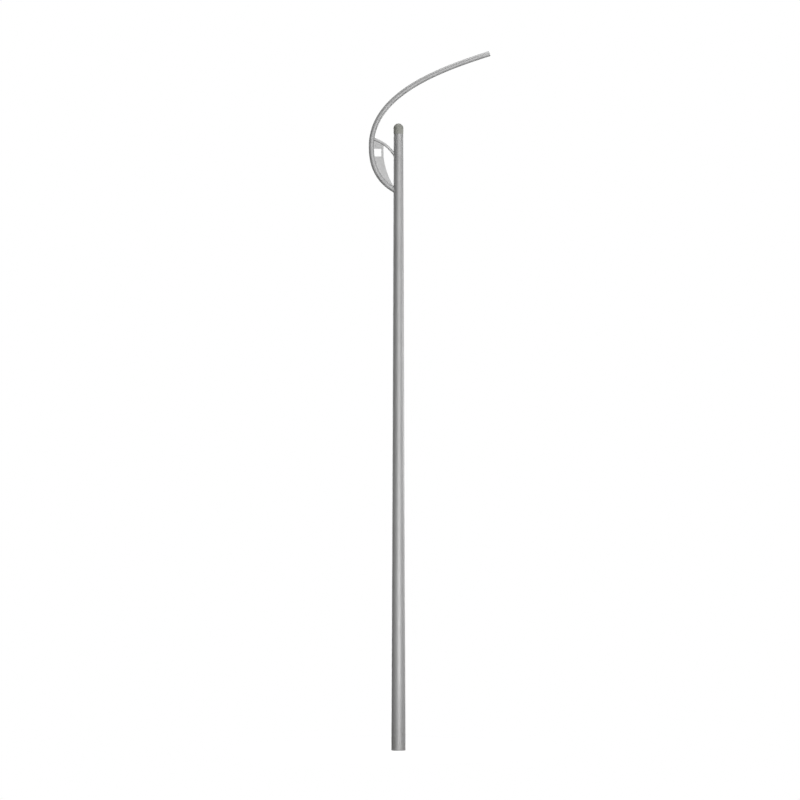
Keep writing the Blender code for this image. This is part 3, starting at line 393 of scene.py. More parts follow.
class Nodes:
    """A short way to write a node tree."""

    def __init__(self, name):
        self.material = bpy.data.materials.new(name)
        self.material.use_nodes = True
        self.tree = self.material.node_tree
        self.shader = self.tree.nodes["Principled BSDF"]
        self.place = self.tree.nodes.new("ShaderNodeTexCoord").outputs["Object"]

    def link(self, source, target):
        self.tree.links.new(source, target)

    def stretched(self, x, y, z):
        node = self.tree.nodes.new("ShaderNodeMapping")
        node.inputs["Scale"].default_value = (x, y, z)
        self.link(self.place, node.inputs["Vector"])
        return node.outputs["Vector"]

    def noise(self, scale, detail=3.0, roughness=0.5, vector=None):
        node = self.tree.nodes.new("ShaderNodeTexNoise")
        node.inputs["Scale"].default_value = scale
        node.inputs["Detail"].default_value = detail
        node.inputs["Roughness"].default_value = roughness
        self.link(self.place if vector is None else vector, node.inputs["Vector"])
        return node.outputs["Fac"]

    def ramp(self, value, low, high, to_low=0.0, to_high=1.0):
        node = self.tree.nodes.new("ShaderNodeMapRange")
        node.inputs["From Min"].default_value = low
        node.inputs["From Max"].default_value = high
        node.inputs["To Min"].default_value = to_low
        node.inputs["To Max"].default_value = to_high
        node.interpolation_type = "SMOOTHSTEP"
        self.link(value, node.inputs["Value"])
        return node.outputs["Result"]

    def math(self, operation, first, second):
        node = self.tree.nodes.new("ShaderNodeMath")
        node.operation = operation
        for socket, value in zip(node.inputs, (first, second)):
            if isinstance(value, (int, float)):
                socket.default_value = value
            else:
                self.link(value, socket)
        return node.outputs["Value"]

    def mix(self, amount, first, second):
        node = self.tree.nodes.new("ShaderNodeMix")
        node.data_type = "RGBA"
        if isinstance(amount, (int, float)):
            node.inputs["Factor"].default_value = amount
        else:
            self.link(amount, node.inputs["Factor"])
        for socket, value in ((node.inputs[6], first), (node.inputs[7], second)):
            if isinstance(value, tuple):
                socket.default_value = (*value, 1.0)
            else:
                self.link(value, socket)
        return node.outputs[2]

    def facing_up(self):
        """The height of the surface's own normal, 1 where it faces the sky."""
        node = self.tree.nodes.new("ShaderNodeNewGeometry")
        split = self.tree.nodes.new("ShaderNodeSeparateXYZ")
        self.link(node.outputs["Normal"], split.inputs["Vector"])
        return split.outputs["Z"]

    def height(self):
        node = self.tree.nodes.new("ShaderNodeSeparateXYZ")
        self.link(self.place, node.inputs["Vector"])
        return node.outputs["Z"]

    def edges(self):
        """Near 1 on outer edges and near 0 in hollows."""
        node = self.tree.nodes.new("ShaderNodeNewGeometry")
        return self.ramp(node.outputs["Pointiness"], 0.50, 0.58)

    def bump(self, value, strength, distance, under=None):
        node = self.tree.nodes.new("ShaderNodeBump")
        node.inputs["Strength"].default_value = strength
        node.inputs["Distance"].default_value = distance
        self.link(value, node.inputs["Height"])
        if under is not None:
            self.link(under, node.inputs["Normal"])
        return node.outputs["Normal"]

    def finish(self, colour, roughness, normal, metallic=0.0):
        self.link(colour, self.shader.inputs["Base Color"])
        self.link(roughness, self.shader.inputs["Roughness"])
        self.link(normal, self.shader.inputs["Normal"])
        self.shader.inputs["Metallic"].default_value = metallic
        return self.material


def shade(colour, by):
    return tuple(channel * by for channel in colour)


def paint(name, colour, metallic, rough, painted_light_from_above=0.0):
    """Sprayed metallic paint: a fine flake, a slow mottle, orange peel, streaks and worn edges, and where asked
    painted light from above.
    """
    n = Nodes(name)
    mottle = n.ramp(n.noise(3.0, 4.0, 0.55), 0.35, 0.65)
    flake = n.ramp(n.noise(1400.0, 1.0), 0.40, 0.62)
    base = n.mix(mottle, shade(colour, 0.97), shade(colour, 1.03))
    base = n.mix(n.math("MULTIPLY", flake, 0.16), base, shade(colour, 1.35))
    if painted_light_from_above > 0.0:
        # painted light from above: faces that look up are lightened as a painted highlight and the underside is
        # darkened as painted shade, broken into patches
        patches = n.ramp(n.noise(14.0, 5.0, 0.6), 0.25, 0.75, -0.25, 0.25)
        up = n.ramp(n.math("ADD", n.facing_up(), patches), -0.7, 0.8)
        base = n.mix(n.math("MULTIPLY", up, painted_light_from_above), base, shade(colour, 1.45))
        painted_under_shade = n.ramp(n.math("ADD", n.facing_up(), patches), -0.9, -0.1, 1.0, 0.0)
        base = n.mix(n.math("MULTIPLY", painted_under_shade, painted_light_from_above), base, shade(colour, 0.70))
    streak = n.ramp(n.noise(1.0, 4.0, 0.6, n.stretched(55.0, 55.0, 0.9)), 0.55, 0.78)
    base = n.mix(n.math("MULTIPLY", streak, 0.09), base, shade(colour, 0.62))
    # the ground splashes the post's foot
    splash = n.ramp(n.height(), 0.02, 0.55, 1.0, 0.0)
    broken = n.ramp(n.noise(26.0, 6.0, 0.65), 0.38, 0.66)
    dirt = n.math("MULTIPLY", n.math("MULTIPLY", splash, broken), 0.28)
    base = n.mix(dirt, base, (0.16, 0.145, 0.125))
    worn = n.math("MULTIPLY", n.edges(), n.ramp(n.noise(160.0, 3.0), 0.42, 0.60))
    base = n.mix(n.math("MULTIPLY", worn, 0.35), base, shade(colour, 1.5))
    rough_map = n.ramp(n.noise(9.0, 5.0, 0.6), 0.30, 0.70, rough - 0.03, rough + 0.05)
    peel = n.bump(n.noise(420.0, 2.0), 0.10, 0.0004)
    normal = n.bump(n.noise(38.0, 3.0), 0.06, 0.0012, peel)
    return n.finish(base, rough_map, normal, metallic)


def zinc(name):
    """Zinc plating: a dull blue-grey with a patchy bloom and tool marks."""
    n = Nodes(name)
    cells = n.tree.nodes.new("ShaderNodeTexVoronoi")
    cells.inputs["Scale"].default_value = 240.0
    n.link(n.place, cells.inputs["Vector"])
    spangle = n.ramp(cells.outputs["Distance"], 0.05, 0.65)
    bloom = n.ramp(n.noise(45.0, 5.0, 0.6), 0.40, 0.68)
    base = n.mix(spangle, (0.40, 0.41, 0.43), (0.50, 0.51, 0.52))
    base = n.mix(n.math("MULTIPLY", bloom, 0.35), base, (0.56, 0.57, 0.57))
    marks = n.noise(1.0, 2.0, 0.5, n.stretched(900.0, 900.0, 60.0))
    rough = n.ramp(bloom, 0.0, 1.0, 0.30, 0.55)
    return n.finish(base, rough, n.bump(marks, 0.12, 0.0002), 1.0)


def bright_steel(name):
    n = Nodes(name)
    turned = n.noise(1.0, 3.0, 0.6, n.stretched(300.0, 300.0, 2600.0))
    base = n.mix(n.ramp(turned, 0.35, 0.65), (0.50, 0.50, 0.51), (0.66, 0.66, 0.67))
    rough = n.ramp(n.noise(120.0, 4.0), 0.35, 0.65, 0.18, 0.38)
    return n.finish(base, rough, n.bump(turned, 0.18, 0.0002), 1.0)


def brass(name):
    n = Nodes(name)
    tarnish = n.ramp(n.noise(85.0, 5.0, 0.62), 0.42, 0.68)
    base = n.mix(tarnish, (0.72, 0.55, 0.25), (0.40, 0.28, 0.12))
    rough = n.ramp(tarnish, 0.0, 1.0, 0.22, 0.50)
    fine = n.noise(1.0, 3.0, 0.6, n.stretched(300.0, 300.0, 2600.0))
    return n.finish(base, rough, n.bump(fine, 0.12, 0.0002), 1.0)


def rubber(name):
    n = Nodes(name)
    bloom = n.ramp(n.noise(70.0, 5.0, 0.65), 0.40, 0.72)
    base = n.mix(bloom, (0.020, 0.020, 0.021), (0.060, 0.060, 0.058))
    rough = n.ramp(bloom, 0.0, 1.0, 0.62, 0.88)
    return n.finish(base, rough, n.bump(n.noise(900.0, 2.0), 0.25, 0.0003))


def resin_board(name):
    """Pressed laminate board: fibres one way, flecks and a matt surface."""
    n = Nodes(name)
    fibre = n.noise(1.0, 5.0, 0.65, n.stretched(90.0, 90.0, 1200.0))
    fleck = n.ramp(n.noise(700.0, 2.0), 0.60, 0.70)
    base = n.mix(n.ramp(fibre, 0.35, 0.65), (0.36, 0.33, 0.27), (0.48, 0.45, 0.38))
    base = n.mix(n.math("MULTIPLY", fleck, 0.5), base, (0.20, 0.17, 0.12))
    rough = n.ramp(fibre, 0.30, 0.70, 0.50, 0.68)
    return n.finish(base, rough, n.bump(fibre, 0.20, 0.0003))


def moulded(name, colour, rough):
    """Moulded plastic: spark-eroded grain, slight yellowing and dust."""
    n = Nodes(name)
    aged = n.ramp(n.noise(30.0, 4.0, 0.6), 0.35, 0.70)
    base = n.mix(aged, colour, tuple(c * k for c, k in zip(colour, (0.98, 0.95, 0.86))))
    grain = n.noise(1600.0, 2.0)
    rough_map = n.ramp(n.noise(60.0, 4.0), 0.30, 0.70, rough - 0.06, rough + 0.08)
    return n.finish(base, rough_map, n.bump(grain, 0.22, 0.0002))


def weld_metal(name, colour):
    """A painted weld bead, slightly rougher than the tube beside it."""
    n = Nodes(name)
    spatter = n.ramp(n.noise(300.0, 4.0, 0.6), 0.40, 0.70)
    base = n.mix(spatter, shade(colour, 0.86), shade(colour, 1.06))
    rough = n.ramp(spatter, 0.0, 1.0, 0.42, 0.60)
    return n.finish(base, rough, n.bump(n.noise(500.0, 3.0), 0.3, 0.0005), 0.25)


COLUMN_GREY = (0.335, 0.335, 0.335)
ARM_GREY = (0.32, 0.32, 0.32)
PLATE_GREY = (0.43, 0.43, 0.43)
FINIAL_GREY = (0.250, 0.254, 0.230)
WELD_GREY = (0.40, 0.40, 0.40)
# the brace is the arm's paint made lighter: a painted highlight for the light from above
BRACE_LIGHTENED_GREY = (0.42, 0.42, 0.42)

MATERIALS = {
    "column": paint("paint_column", COLUMN_GREY, 0.34, 0.49),
    # the arm and brace carry painted light: a painted highlight on top and painted shade underneath
    "arm": paint("paint_arm", ARM_GREY, 0.25, 0.46, painted_light_from_above=0.8),
    "brace": paint("paint_brace_lightened", BRACE_LIGHTENED_GREY, 0.20, 0.48, painted_light_from_above=0.5),
    "plate": paint("paint_plate", PLATE_GREY, 0.20, 0.48),
    "finial": paint("paint_finial", FINIAL_GREY, 0.05, 0.56),
    "zinc": zinc("zinc_plate"),
    "steel": bright_steel("bright_steel"),
    "brass": brass("tarnished_brass"),
    "rubber": rubber("black_rubber"),
    "board": resin_board("resin_board"),
    "breaker": moulded("breaker_moulding", (0.70, 0.70, 0.68), 0.42),
    "toggle": moulded("toggle_moulding", (0.030, 0.030, 0.034), 0.34),
    "weld": weld_metal("painted_weld", WELD_GREY),
}


def place_piece(piece, body, slot, replaces=(), look=None):
    piece.data.materials.clear()
    piece.data.materials.append(MATERIALS[look or slot])
    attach(piece, body)
    if replaces:
        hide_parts(*replaces)
    return piece


# ---- the column and its door --------------------------------------------------------------------


def door_prism(name, shrink):
    width = DOOR_HIGH.x - DOOR_LOW.x + 2.0 * DOOR_CLEARANCE - 2.0 * shrink
    height = DOOR_HIGH.z - DOOR_LOW.z + 2.0 * DOOR_CLEARANCE - 2.0 * shrink
    middle = (DOOR_LOW.z + DOOR_HIGH.z) / 2.0
    outline = rounded_rectangle(width, height, DOOR_CORNER_RADIUS - shrink, middle)
    return extrude(name, outline, FOOT_RADIUS / 3.0, FOOT_RADIUS * 2.0)


def make_column():
    lip = 0.0008
    heights = [lip] + spans(0.45, 0.95, 10) + spans(1.0, SHAFT_HEIGHT - lip, 24)
    outer = [ring(column_radius(0.0) - lip, 0.0, FINE_ROUND)]
    outer += [ring(column_radius(z), z, FINE_ROUND) for z in heights]
    outer += [ring(column_radius(SHAFT_HEIGHT) - lip, SHAFT_HEIGHT, FINE_ROUND)]
    inner = [ring(column_radius(z) - SHAFT_WALL, z, FINE_ROUND) for z in (SHAFT_HEIGHT, 0.0)]
    column = loft("column_skin", outer + inner)
    tools = [door_prism("tool_door", 0.0)]
    place = along(BOW_FOOT, BOW_FOOT_WAY)
    tools.append(rod_tool("tool_arm_hole", ARM_HOLE_RADIUS, -0.020, 0.030, place))
    start, reach = TOP_RADIUS / 2.0, TOP_RADIUS * 2.0
    for i in range(3):
        place = outward(2.0 * math.pi * i / 3.0, GRUB_HOLE_HEIGHT)
        tools.append(rod_tool(f"tool_grub_{i}", GRUB_HOLE_RADIUS, start, reach, place))
    shape_by(column, tools)
    round_normals(column)
    return place_piece(column, "post", "column", ["base_section", "pole_shaft"])


def make_door():
    low, high = DOOR_LOW.z - 0.05, DOOR_HIGH.z + 0.05
    heights = spans(low, high, 12)
    outer = [ring(column_radius(z), z, FINE_ROUND) for z in heights]
    inner = [ring(column_radius(z) - DOOR_THICKNESS, z, FINE_ROUND) for z in reversed(heights)]
    door = loft("door_skin", outer + inner)
    shape_by(door, [door_prism("tool_door_edge", DOOR_CLEARANCE)], "INTERSECT")
    middle = (DOOR_LOW.z + DOOR_HIGH.z) / 2.0
    hole = rod_tool("tool_lock", LOCK_HOLE_RADIUS, 0.05, 0.10, outward(LOCK_ANGLE, middle))
    shape_by(door, [hole])
    round_normals(door)
    return place_piece(door, "door", "column", ["door_panel"])


# ---- the arm ------------------------------------------------------------------------------------


def make_bow():
    bow = tube("bow_skin", bow_point, BOW_STATIONS, BOW_RADIUS, BOW_WALL, TUBE_ROUND)
    shape_by(bow, [column_tool(COPE_LOW, SHAFT_HEIGHT)])
    soften(bow, 0.0007)
    return place_piece(bow, "post", "arm", ["bow_arm"])


def make_brace():
    brace = tube("brace_skin", brace_point, BRACE_STATIONS, BRACE_RADIUS, BRACE_WALL, BRACE_ROUND)
    shape_by(brace, [bow_tool(), column_tool(COPE_LOW, SHAFT_HEIGHT)])
    # the brace's look is the arm's paint lightened, as painted light
    return place_piece(brace, "post", "arm", ["brace_arc"], look="brace")


def gusset_outline():
    """Down the bow's centre line, up the curved and upright free edges, back along the brace."""
    outline = [brace_point(0.0)]
    outline += [bow_point(u) for u in spans(1.0, 0.0, 40)]
    for t in spans(0.0, 1.0, 24):
        s = 1.0 - t
        outline.append(s * s * GUSSET_FOOT + 2.0 * s * t * GUSSET_BEND + t * t * GUSSET_KNEE)
    outline += [brace_point(u) for u in spans(brace_at(GUSSET_EDGE_X), 0.0, 24)[:-1]]
    return [(point.x, point.z) for point in outline]


def make_gusset():
    half = GUSSET_HALF_THICKNESS
    plate = extrude("gusset_skin", gusset_outline(), -half, half)
    window = rounded_rectangle(
        WINDOW_RIGHT - WINDOW_LEFT,
        WINDOW_TOP - WINDOW_BOTTOM,
        0.003,
        (WINDOW_TOP + WINDOW_BOTTOM) / 2.0,
        3,
    )
    middle = (WINDOW_LEFT + WINDOW_RIGHT) / 2.0
    window = [(x + middle, z) for x, z in window]
    tools = [
        extrude("tool_window", window, -0.03, 0.03),
        bow_tool(),
        solid_tube("tool_brace", brace_point, BRACE_STATIONS, BRACE_RADIUS + GAP, BRACE_ROUND),
        column_tool(COPE_LOW, SHAFT_HEIGHT),
    ]
    shape_by(plate, tools)
    soften(plate, 0.0009)
    return place_piece(plate, "post", "plate", ["gusset_plate"])


# ---- weld beads ---------------------------------------------------------------------------------


def cross(value, low, high):
    """Where a rising or falling function of one number crosses zero."""
    low_sign = value(low) > 0.0
    for _ in range(40):
        middle = (low + high) / 2.0
        if (value(middle) > 0.0) == low_sign:
            low = middle
        else:
            high = middle
    return (low + high) / 2.0


def bead(name, path, radius, closed=True, body="post", slot="arm"):
    """A bead laid in overlapping ripples along a path, its ends tapered where it is open."""
    rings = []
    segments = 10
    count = len(path)
    length = 0.0
    for i, point in enumerate(path):
        before = path[i - 1] if closed or i > 0 else path[0]
        after = path[(i + 1) % count] if closed or i < count - 1 else path[-1]
        way = (after - before).normalized()
        side = way.orthogonal().normalized()
        if rings:
            side = (last_side - way * last_side.dot(way)).normalized()
            length += (point - path[i - 1]).length
        last_side = side
        up = way.cross(side)
        ripple = 1.0 + 0.13 * math.cos(2.0 * math.pi * length / RIPPLE_LENGTH)
        taper = 1.0 if closed else min(1.0, 0.25 + 3.0 * min(i, count - 1 - i) / count)
        size = radius * ripple * taper
        turns = [2.0 * math.pi * k / segments for k in range(segments)]
        rings.append([point + size * (math.cos(a) * side + math.sin(a) * up) for a in turns])
    if closed:
        # carry the twist that the bead has gathered back to the start without a seam
        first, end = rings[0], rings[-1]
        best = min(range(segments), key=lambda k: (first[0] - end[k]).length)
        if best:
            twist = best if best <= segments // 2 else best - segments
            base = [list(points) for points in rings]
            for i in range(count):
                shift = round(twist * i / (count - 1))
                rings[i] = [base[i][(k + shift) % segments] for k in range(segments)]
        made = loft(name, rings, math.pi)
    else:
        made = loft(name, [[path[0]]] + rings + [[path[-1]]], math.pi)
    return place_piece(made, body, slot, look="weld")


def outside_column(point):
    return math.hypot(point.x, point.y) - column_radius(point.z) - GAP / 2.0


def outside_bow(point):
    """How far a point stands off the bow, by its nearest station of the side stretch."""
    near = min((point - bow_point(u)).length for u in spans(0.75, 1.25, 120))
    return near - BOW_RADIUS - GAP / 2.0


def weld_round(name, curve, radius, low, high, distance, size, count):
    """A bead where a tube's skin runs into another piece."""
    path = []
    for k in range(count):
        turn = 2.0 * math.pi * k / count

        def stand_off(u, turn=turn):
            return distance(skin_point(curve, u, turn, radius))

        path.append(skin_point(curve, cross(stand_off, low, high), turn, radius))
    return bead(name, path, size)


def make_welds():
    bow = (bow_point, BOW_RADIUS)
    brace = (brace_point, BRACE_RADIUS)
    weld_round("weld_bow_column", *bow, -0.9, 0.25, outside_column, BOW_WELD, 220)
    weld_round("weld_brace_column", *brace, 0.5, 1.0, outside_column, BRACE_WELD, 120)
    weld_round("weld_brace_bow", *brace, 0.0, 0.3, outside_bow, BRACE_WELD, 120)
    half = GUSSET_HALF_THICKNESS
    bow_reach = math.sqrt((BOW_RADIUS + GAP) ** 2 - half**2)
    brace_reach = math.sqrt((BRACE_RADIUS + GAP) ** 2 - half**2)
    # stretches of plate edge, each between two corners of the plate
    seams = {
        "bow_lower": (bow_point, bow_reach, 0.045, bow_at(WINDOW_BOTTOM), 150),
        "bow_upper": (bow_point, bow_reach, bow_at(WINDOW_TOP), bow_at(GUSSET_TOP), 40),
        "brace": (brace_point, brace_reach, 0.11, brace_at(GUSSET_EDGE_X) - 0.01, 60),
    }
    for word, (curve, reach, low, high, count) in seams.items():
        for side, face in ((-1.0, "front"), (1.0, "rear")):
            lift = Vector((0.0, side * half, 0.0))
            path = [curve(u) + reach * inward(curve, u) + lift for u in spans(low, high, count)]
            bead(f"weld_gusset_{word}_{face}", path, GUSSET_WELD, closed=False)


def bow_at(height):
    """How far along the bow its side passes a given height."""
    return cross(lambda u: bow_point(u).z - height, 0.0, 1.5)


def inward(curve, u):
    """Across a curve in its own plane, to the side that the gusset plate lies on."""
    way = (curve(u + 0.002) - curve(u - 0.002)).normalized()
    across = way.cross(Vector((0.0, 1.0, 0.0)))
    return across if across.dot(GUSSET_MIDDLE - curve(u)) > 0.0 else -across


# ---- hinges and lock ----------------------------------------------------------------------------


def make_hinge_leaf(node, body, away):
    """A turned knuckle with its leaf; away is 1 for the column's leaf and -1 for the door's."""
    low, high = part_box(node)
    axis = Vector(DOOR_JOINT["pos_m"])
    at_axis = Matrix.Translation((axis.x, axis.y, 0.0))
    chamfer = 0.0006
    profile = [
        (KNUCKLE_BORE, low.z),
        (KNUCKLE_RADIUS - chamfer, low.z),
        (KNUCKLE_RADIUS, low.z + chamfer),
        (KNUCKLE_RADIUS, high.z - chamfer),
        (KNUCKLE_RADIUS - chamfer, high.z),
        (KNUCKLE_BORE, high.z),
    ]
    leaf = lathe(node + "_skin", profile, 48, at_axis)
    place = at_axis @ Matrix.Rotation(-HINGE_ANGLE, 4, "Z")
    ends = sorted((away * LEAF_ROOT, away * LEAF_LENGTH))
    plate = block_at("tool_leaf", (ends[0], -LEAF_INNER, low.z), (ends[1], -LEAF_OUTER, high.z))
    plate.data.transform(place)
    shape_by(leaf, [plate], "UNION")
    shape_by(leaf, [column_tool(low.z - 0.01, high.z + 0.01)])
    soften(leaf, 0.0004)

    def on_column(along_leaf, z):
        """Where the leaf's edge meets the column's skin."""
        point = place @ Vector((away * along_leaf, -LEAF_MIDDLE, 0.0))
        out = Vector((point.x, point.y, 0.0)).normalized()
        return out * (column_radius(z) + GAP) + Vector((0.0, 0.0, z))

    corners = [
        (LEAF_WELD_START, high.z),
        (LEAF_LENGTH, high.z),
        (LEAF_LENGTH, low.z),
        (LEAF_WELD_START, low.z),
    ]
    path = []
    for (from_x, from_z), (to_x, to_z) in zip(corners, corners[1:]):
        for t in spans(0.0, 1.0, 16)[:-1]:
            path.append(on_column(from_x + (to_x - from_x) * t, from_z + (to_z - from_z) * t))
    path.append(on_column(*corners[-1]))
    bead("weld_" + node, path, HINGE_WELD, closed=False, body=body, slot="column")
    return place_piece(leaf, body, "zinc", [node])


def make_lock_housing():
    """The lock's barrel, its domed flange and the recess that the key goes into."""
    middle = (DOOR_LOW.z + DOOR_HIGH.z) / 2.0
    face = column_radius(middle) + GAP
    crown = face + 0.002
    low = crown - LOCK_DEPTH
    floor = crown - LOCK_RECESS_DEPTH
    dome = 0.0009
    chamfer = 0.0003
    bevel = 0.0004
    profile = [
        (LOCK_BORE, low),
        (LOCK_BARREL_RADIUS - chamfer, low),
        (LOCK_BARREL_RADIUS, low + chamfer),
        (LOCK_BARREL_RADIUS, face),
        (LOCK_FLANGE_RADIUS, face),
    ]
    profile += arc(dome, 0.0, math.pi / 2.0, 6, LOCK_FLANGE_RADIUS - dome, crown - dome)
    profile += [
        (LOCK_RECESS_RADIUS + bevel, crown),
        (LOCK_RECESS_RADIUS, crown - bevel),
        (LOCK_RECESS_RADIUS, floor),
        (LOCK_BORE, floor),
    ]
    housing = lathe("lock_housing_skin", profile, 72, outward(LOCK_ANGLE, middle))
    return place_piece(housing, "door", "zinc", ["lock_housing"])


# ---- the finial ---------------------------------------------------------------------------------


def make_ball():
    """The hollow ball on its flat foot, whose outer edge is rounded by a hair."""
    centre = BALL_HIGH.z - BALL_RADIUS
    inner_radius = BALL_RADIUS - BALL_WALL
    bottom = BALL_LOW.z
    floor = bottom + 0.005
    rounding = 0.014  # an angle, 0.8 mm round the ball
    outer_start = math.asin((bottom - centre) / BALL_RADIUS)
    inner_start = math.asin((floor - centre) / inner_radius)
    foot_edge = BALL_RADIUS * math.cos(outer_start) - 0.0008
    profile = [(FINIAL_BORE, bottom), (foot_edge, bottom)]
    profile += arc(BALL_RADIUS, outer_start + rounding, math.pi / 2.0, 32, height=centre)
    profile += arc(inner_radius, math.pi / 2.0, inner_start, 24, height=centre)
    profile.append((FINIAL_BORE, floor))
    ball = lathe("ball_skin", profile, 96)
    return place_piece(ball, "post", "finial", ["finial_ball"])


def make_collar():
    """The ball's cup: a rounded lip round the ball's foot, and below it the spigot in the column."""
    low, high = COLLAR_LOW.z, COLLAR_HIGH.z
    radius = COLLAR_HIGH.x
    floor = BALL_LOW.z - GAP
    seat = SHAFT_HEIGHT + GAP
    centre = BALL_HIGH.z - BALL_RADIUS
    cup = BALL_RADIUS + 0.0008
    spigot = 0.0497
    bore = spigot - 0.004
    web = 0.006
    rounding = 0.0005
    cup_start = math.asin((floor - centre) / cup)
    cup_end = math.asin((high - centre) / cup)
    profile = [(FINIAL_BORE, floor)]
    profile += arc(cup, cup_start, cup_end, 8, height=centre)
    profile += arc(rounding, math.pi / 2.0, 0.0, 4, radius - rounding, high - rounding)
    profile += [
        (radius, seat + rounding),
        (radius - rounding, seat),
        (spigot, seat),
        (spigot, low),
        (bore, low),
        (bore, floor - web),
        (FINIAL_BORE, floor - web),
    ]
    collar = lathe("collar_skin", profile, 96)
    return place_piece(collar, "post", "finial", ["finial_collar"])


# ---- the breaker and its screws -----------------------------------------------------------------


def make_breaker():
    """The breaker's moulding with its clip slot, terminal wells, vents and a seam between poles."""
    low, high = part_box("breaker_body")
    rail_low, rail_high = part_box("din_rail")
    toggle_low, toggle_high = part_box("breaker_toggle")
    middle = (low.z + high.z) / 2.0
    nose = BREAKER_NOSE
    shoulder = high.y - BREAKER_SHOULDER
    body = block_at("breaker_skin", low, high)
    over = 0.01
    seam = 0.0003
    front = 0.1
    tools = [
        block_at(
            "tool_upper",
            (low.x - over, shoulder, middle + nose),
            (high.x + over, front, high.z + over),
        ),
        block_at(
            "tool_lower",
            (low.x - over, shoulder, low.z - over),
            (high.x + over, front, middle - nose),
        ),
        block_at(
            "tool_clip",
            (low.x - over, low.y - over, rail_low.z - 2.0 * GAP),
            (high.x + over, rail_high.y + GAP, rail_high.z + 2.0 * GAP),
        ),
        block_at(
            "tool_seam_front",
            (-seam, high.y - 2.0 * seam, low.z - over),
            (seam, front, high.z + over),
        ),
    ]
    pivot = Matrix.Translation((0.0, high.y - 0.001, middle)) @ Matrix.Rotation(math.pi / 2.0, 4, "Y")
    half = (toggle_high.x - toggle_low.x) / 2.0 + 0.0008
    tools.append(rod_tool("tool_pocket", 0.0065, -half, half, pivot))
    for side in (-1.0, 1.0):
        for end in (-1.0, 1.0):
            well = (side * WELL_SIDE, shoulder - 0.004, middle + end * WELL_RISE)
            place = Matrix.Translation(well) @ Matrix.Rotation(-math.pi / 2.0, 4, "X")
            tag = f"tool_well_{side:.0f}_{end:.0f}"
            tools.append(rod_tool(tag, WELL_RADIUS, 0.0, over, place))
        near, far = sorted((side * VENT_FLOOR, side * 0.03))
        for i in range(5):
            z = middle + (i - 2) * VENT_PITCH
            tag = f"tool_vent_{side:.0f}_{i}"
            tools.append(block_at(tag, (near, VENT_REAR, z), (far, VENT_FRONT, z + VENT_HEIGHT)))
    shape_by(body, tools)
    soften(body, 0.0004)
    return place_piece(body, "post", "breaker", ["breaker_body"])


def make_terminal_screws():
    """Slotted clamp screws sunk in the breaker's wells."""
    low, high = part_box("breaker_body")
    middle = (low.z + high.z) / 2.0
    shoulder = high.y - BREAKER_SHOULDER
    profile = [(0.0, 0.0), (0.0030, 0.0), (0.0030, 0.0016), (0.0027, 0.0019), (0.0, 0.0019)]
    for side in (-1.0, 1.0):
        for end in (-1.0, 1.0):
            point = (side * WELL_SIDE, shoulder - 0.0037, middle + end * WELL_RISE)
            place = Matrix.Translation(point) @ Matrix.Rotation(-math.pi / 2.0, 4, "X")
            word = ("left" if side < 0.0 else "right") + ("_low" if end < 0.0 else "_high")
            screw = lathe("breaker_screw_" + word, profile, 28, place)
            y = point[1] + 0.0012
            slot = block_at(
                "tool_slot",
                (point[0] - 0.0035, y, point[2] - 0.0004),
                (point[0] + 0.0035, y + 0.002, point[2] + 0.0004),
            )
            shape_by(screw, [slot])
            place_piece(screw, "post", "zinc")


# ---- carried-over CAD nodes ---------------------------------------------------------------------


def dress_nodes():
    """Every CAD node that still shows gets its slot's material, clean shading and soft edges."""
    slots = {part["node"]: part["material_slot"] for part in frame["record"]["subparts"]}
    for name, node in NODES.items():
        if node.hide_render:
            continue
        node.data.materials.clear()
        node.data.materials.append(MATERIALS[slots[name]])
        node.data.shade_smooth()
        node.data.set_sharp_from_angle(angle=EDGE_ANGLE)
        size = min(node.dimensions)
        soften(node, min(0.0005, size * 0.06))


# ---- stage, light and camera --------------------------------------------------------------------


def make_floor():
    """A pale round floor that fades into the white ground behind."""
    radius = 4.5
    bm = bmesh.new()
    bmesh.ops.create_circle(bm, cap_ends=True, radius=radius, segments=128)
    bmesh.ops.translate(bm, vec=(0.0, 0.0, -0.0005), verts=bm.verts[:])
    floor = finish_mesh("floor", bm)
    n = Nodes("pale_floor")
    look = n.tree.nodes.new("ShaderNodeLightPath")
    distance = n.tree.nodes.new("ShaderNodeVectorMath")
    distance.operation = "LENGTH"
    n.link(n.place, distance.inputs[0])
    fade = n.ramp(distance.outputs["Value"], 0.08, radius * 0.45, 0.35, 1.0)
    grain = n.ramp(n.noise(40.0, 5.0, 0.6), 0.3, 0.7)
    base = n.mix(grain, (0.84, 0.84, 0.84), (0.88, 0.88, 0.88))
    base = n.mix(look.outputs["Is Camera Ray"], (0.10, 0.10, 0.10), base)
    n.link(base, n.shader.inputs["Base Color"])
    n.shader.inputs["Roughness"].default_value = 0.85
    glow = n.tree.nodes.new("ShaderNodeEmission")
    glow.inputs["Color"].default_value = (1.0, 1.0, 1.0, 1.0)
    blend = n.tree.nodes.new("ShaderNodeMixShader")
    n.link(n.math("MULTIPLY", fade, look.outputs["Is Camera Ray"]), blend.inputs["Fac"])
    n.link(n.shader.outputs["BSDF"], blend.inputs[1])
    n.link(glow.outputs["Emission"], blend.inputs[2])
    n.link(blend.outputs["Shader"], n.tree.nodes["Material Output"].inputs["Surface"])
    floor.data.materials.append(n.material)


SIDE_STRENGTH = 0.09
TOP_STRENGTH = 6.0


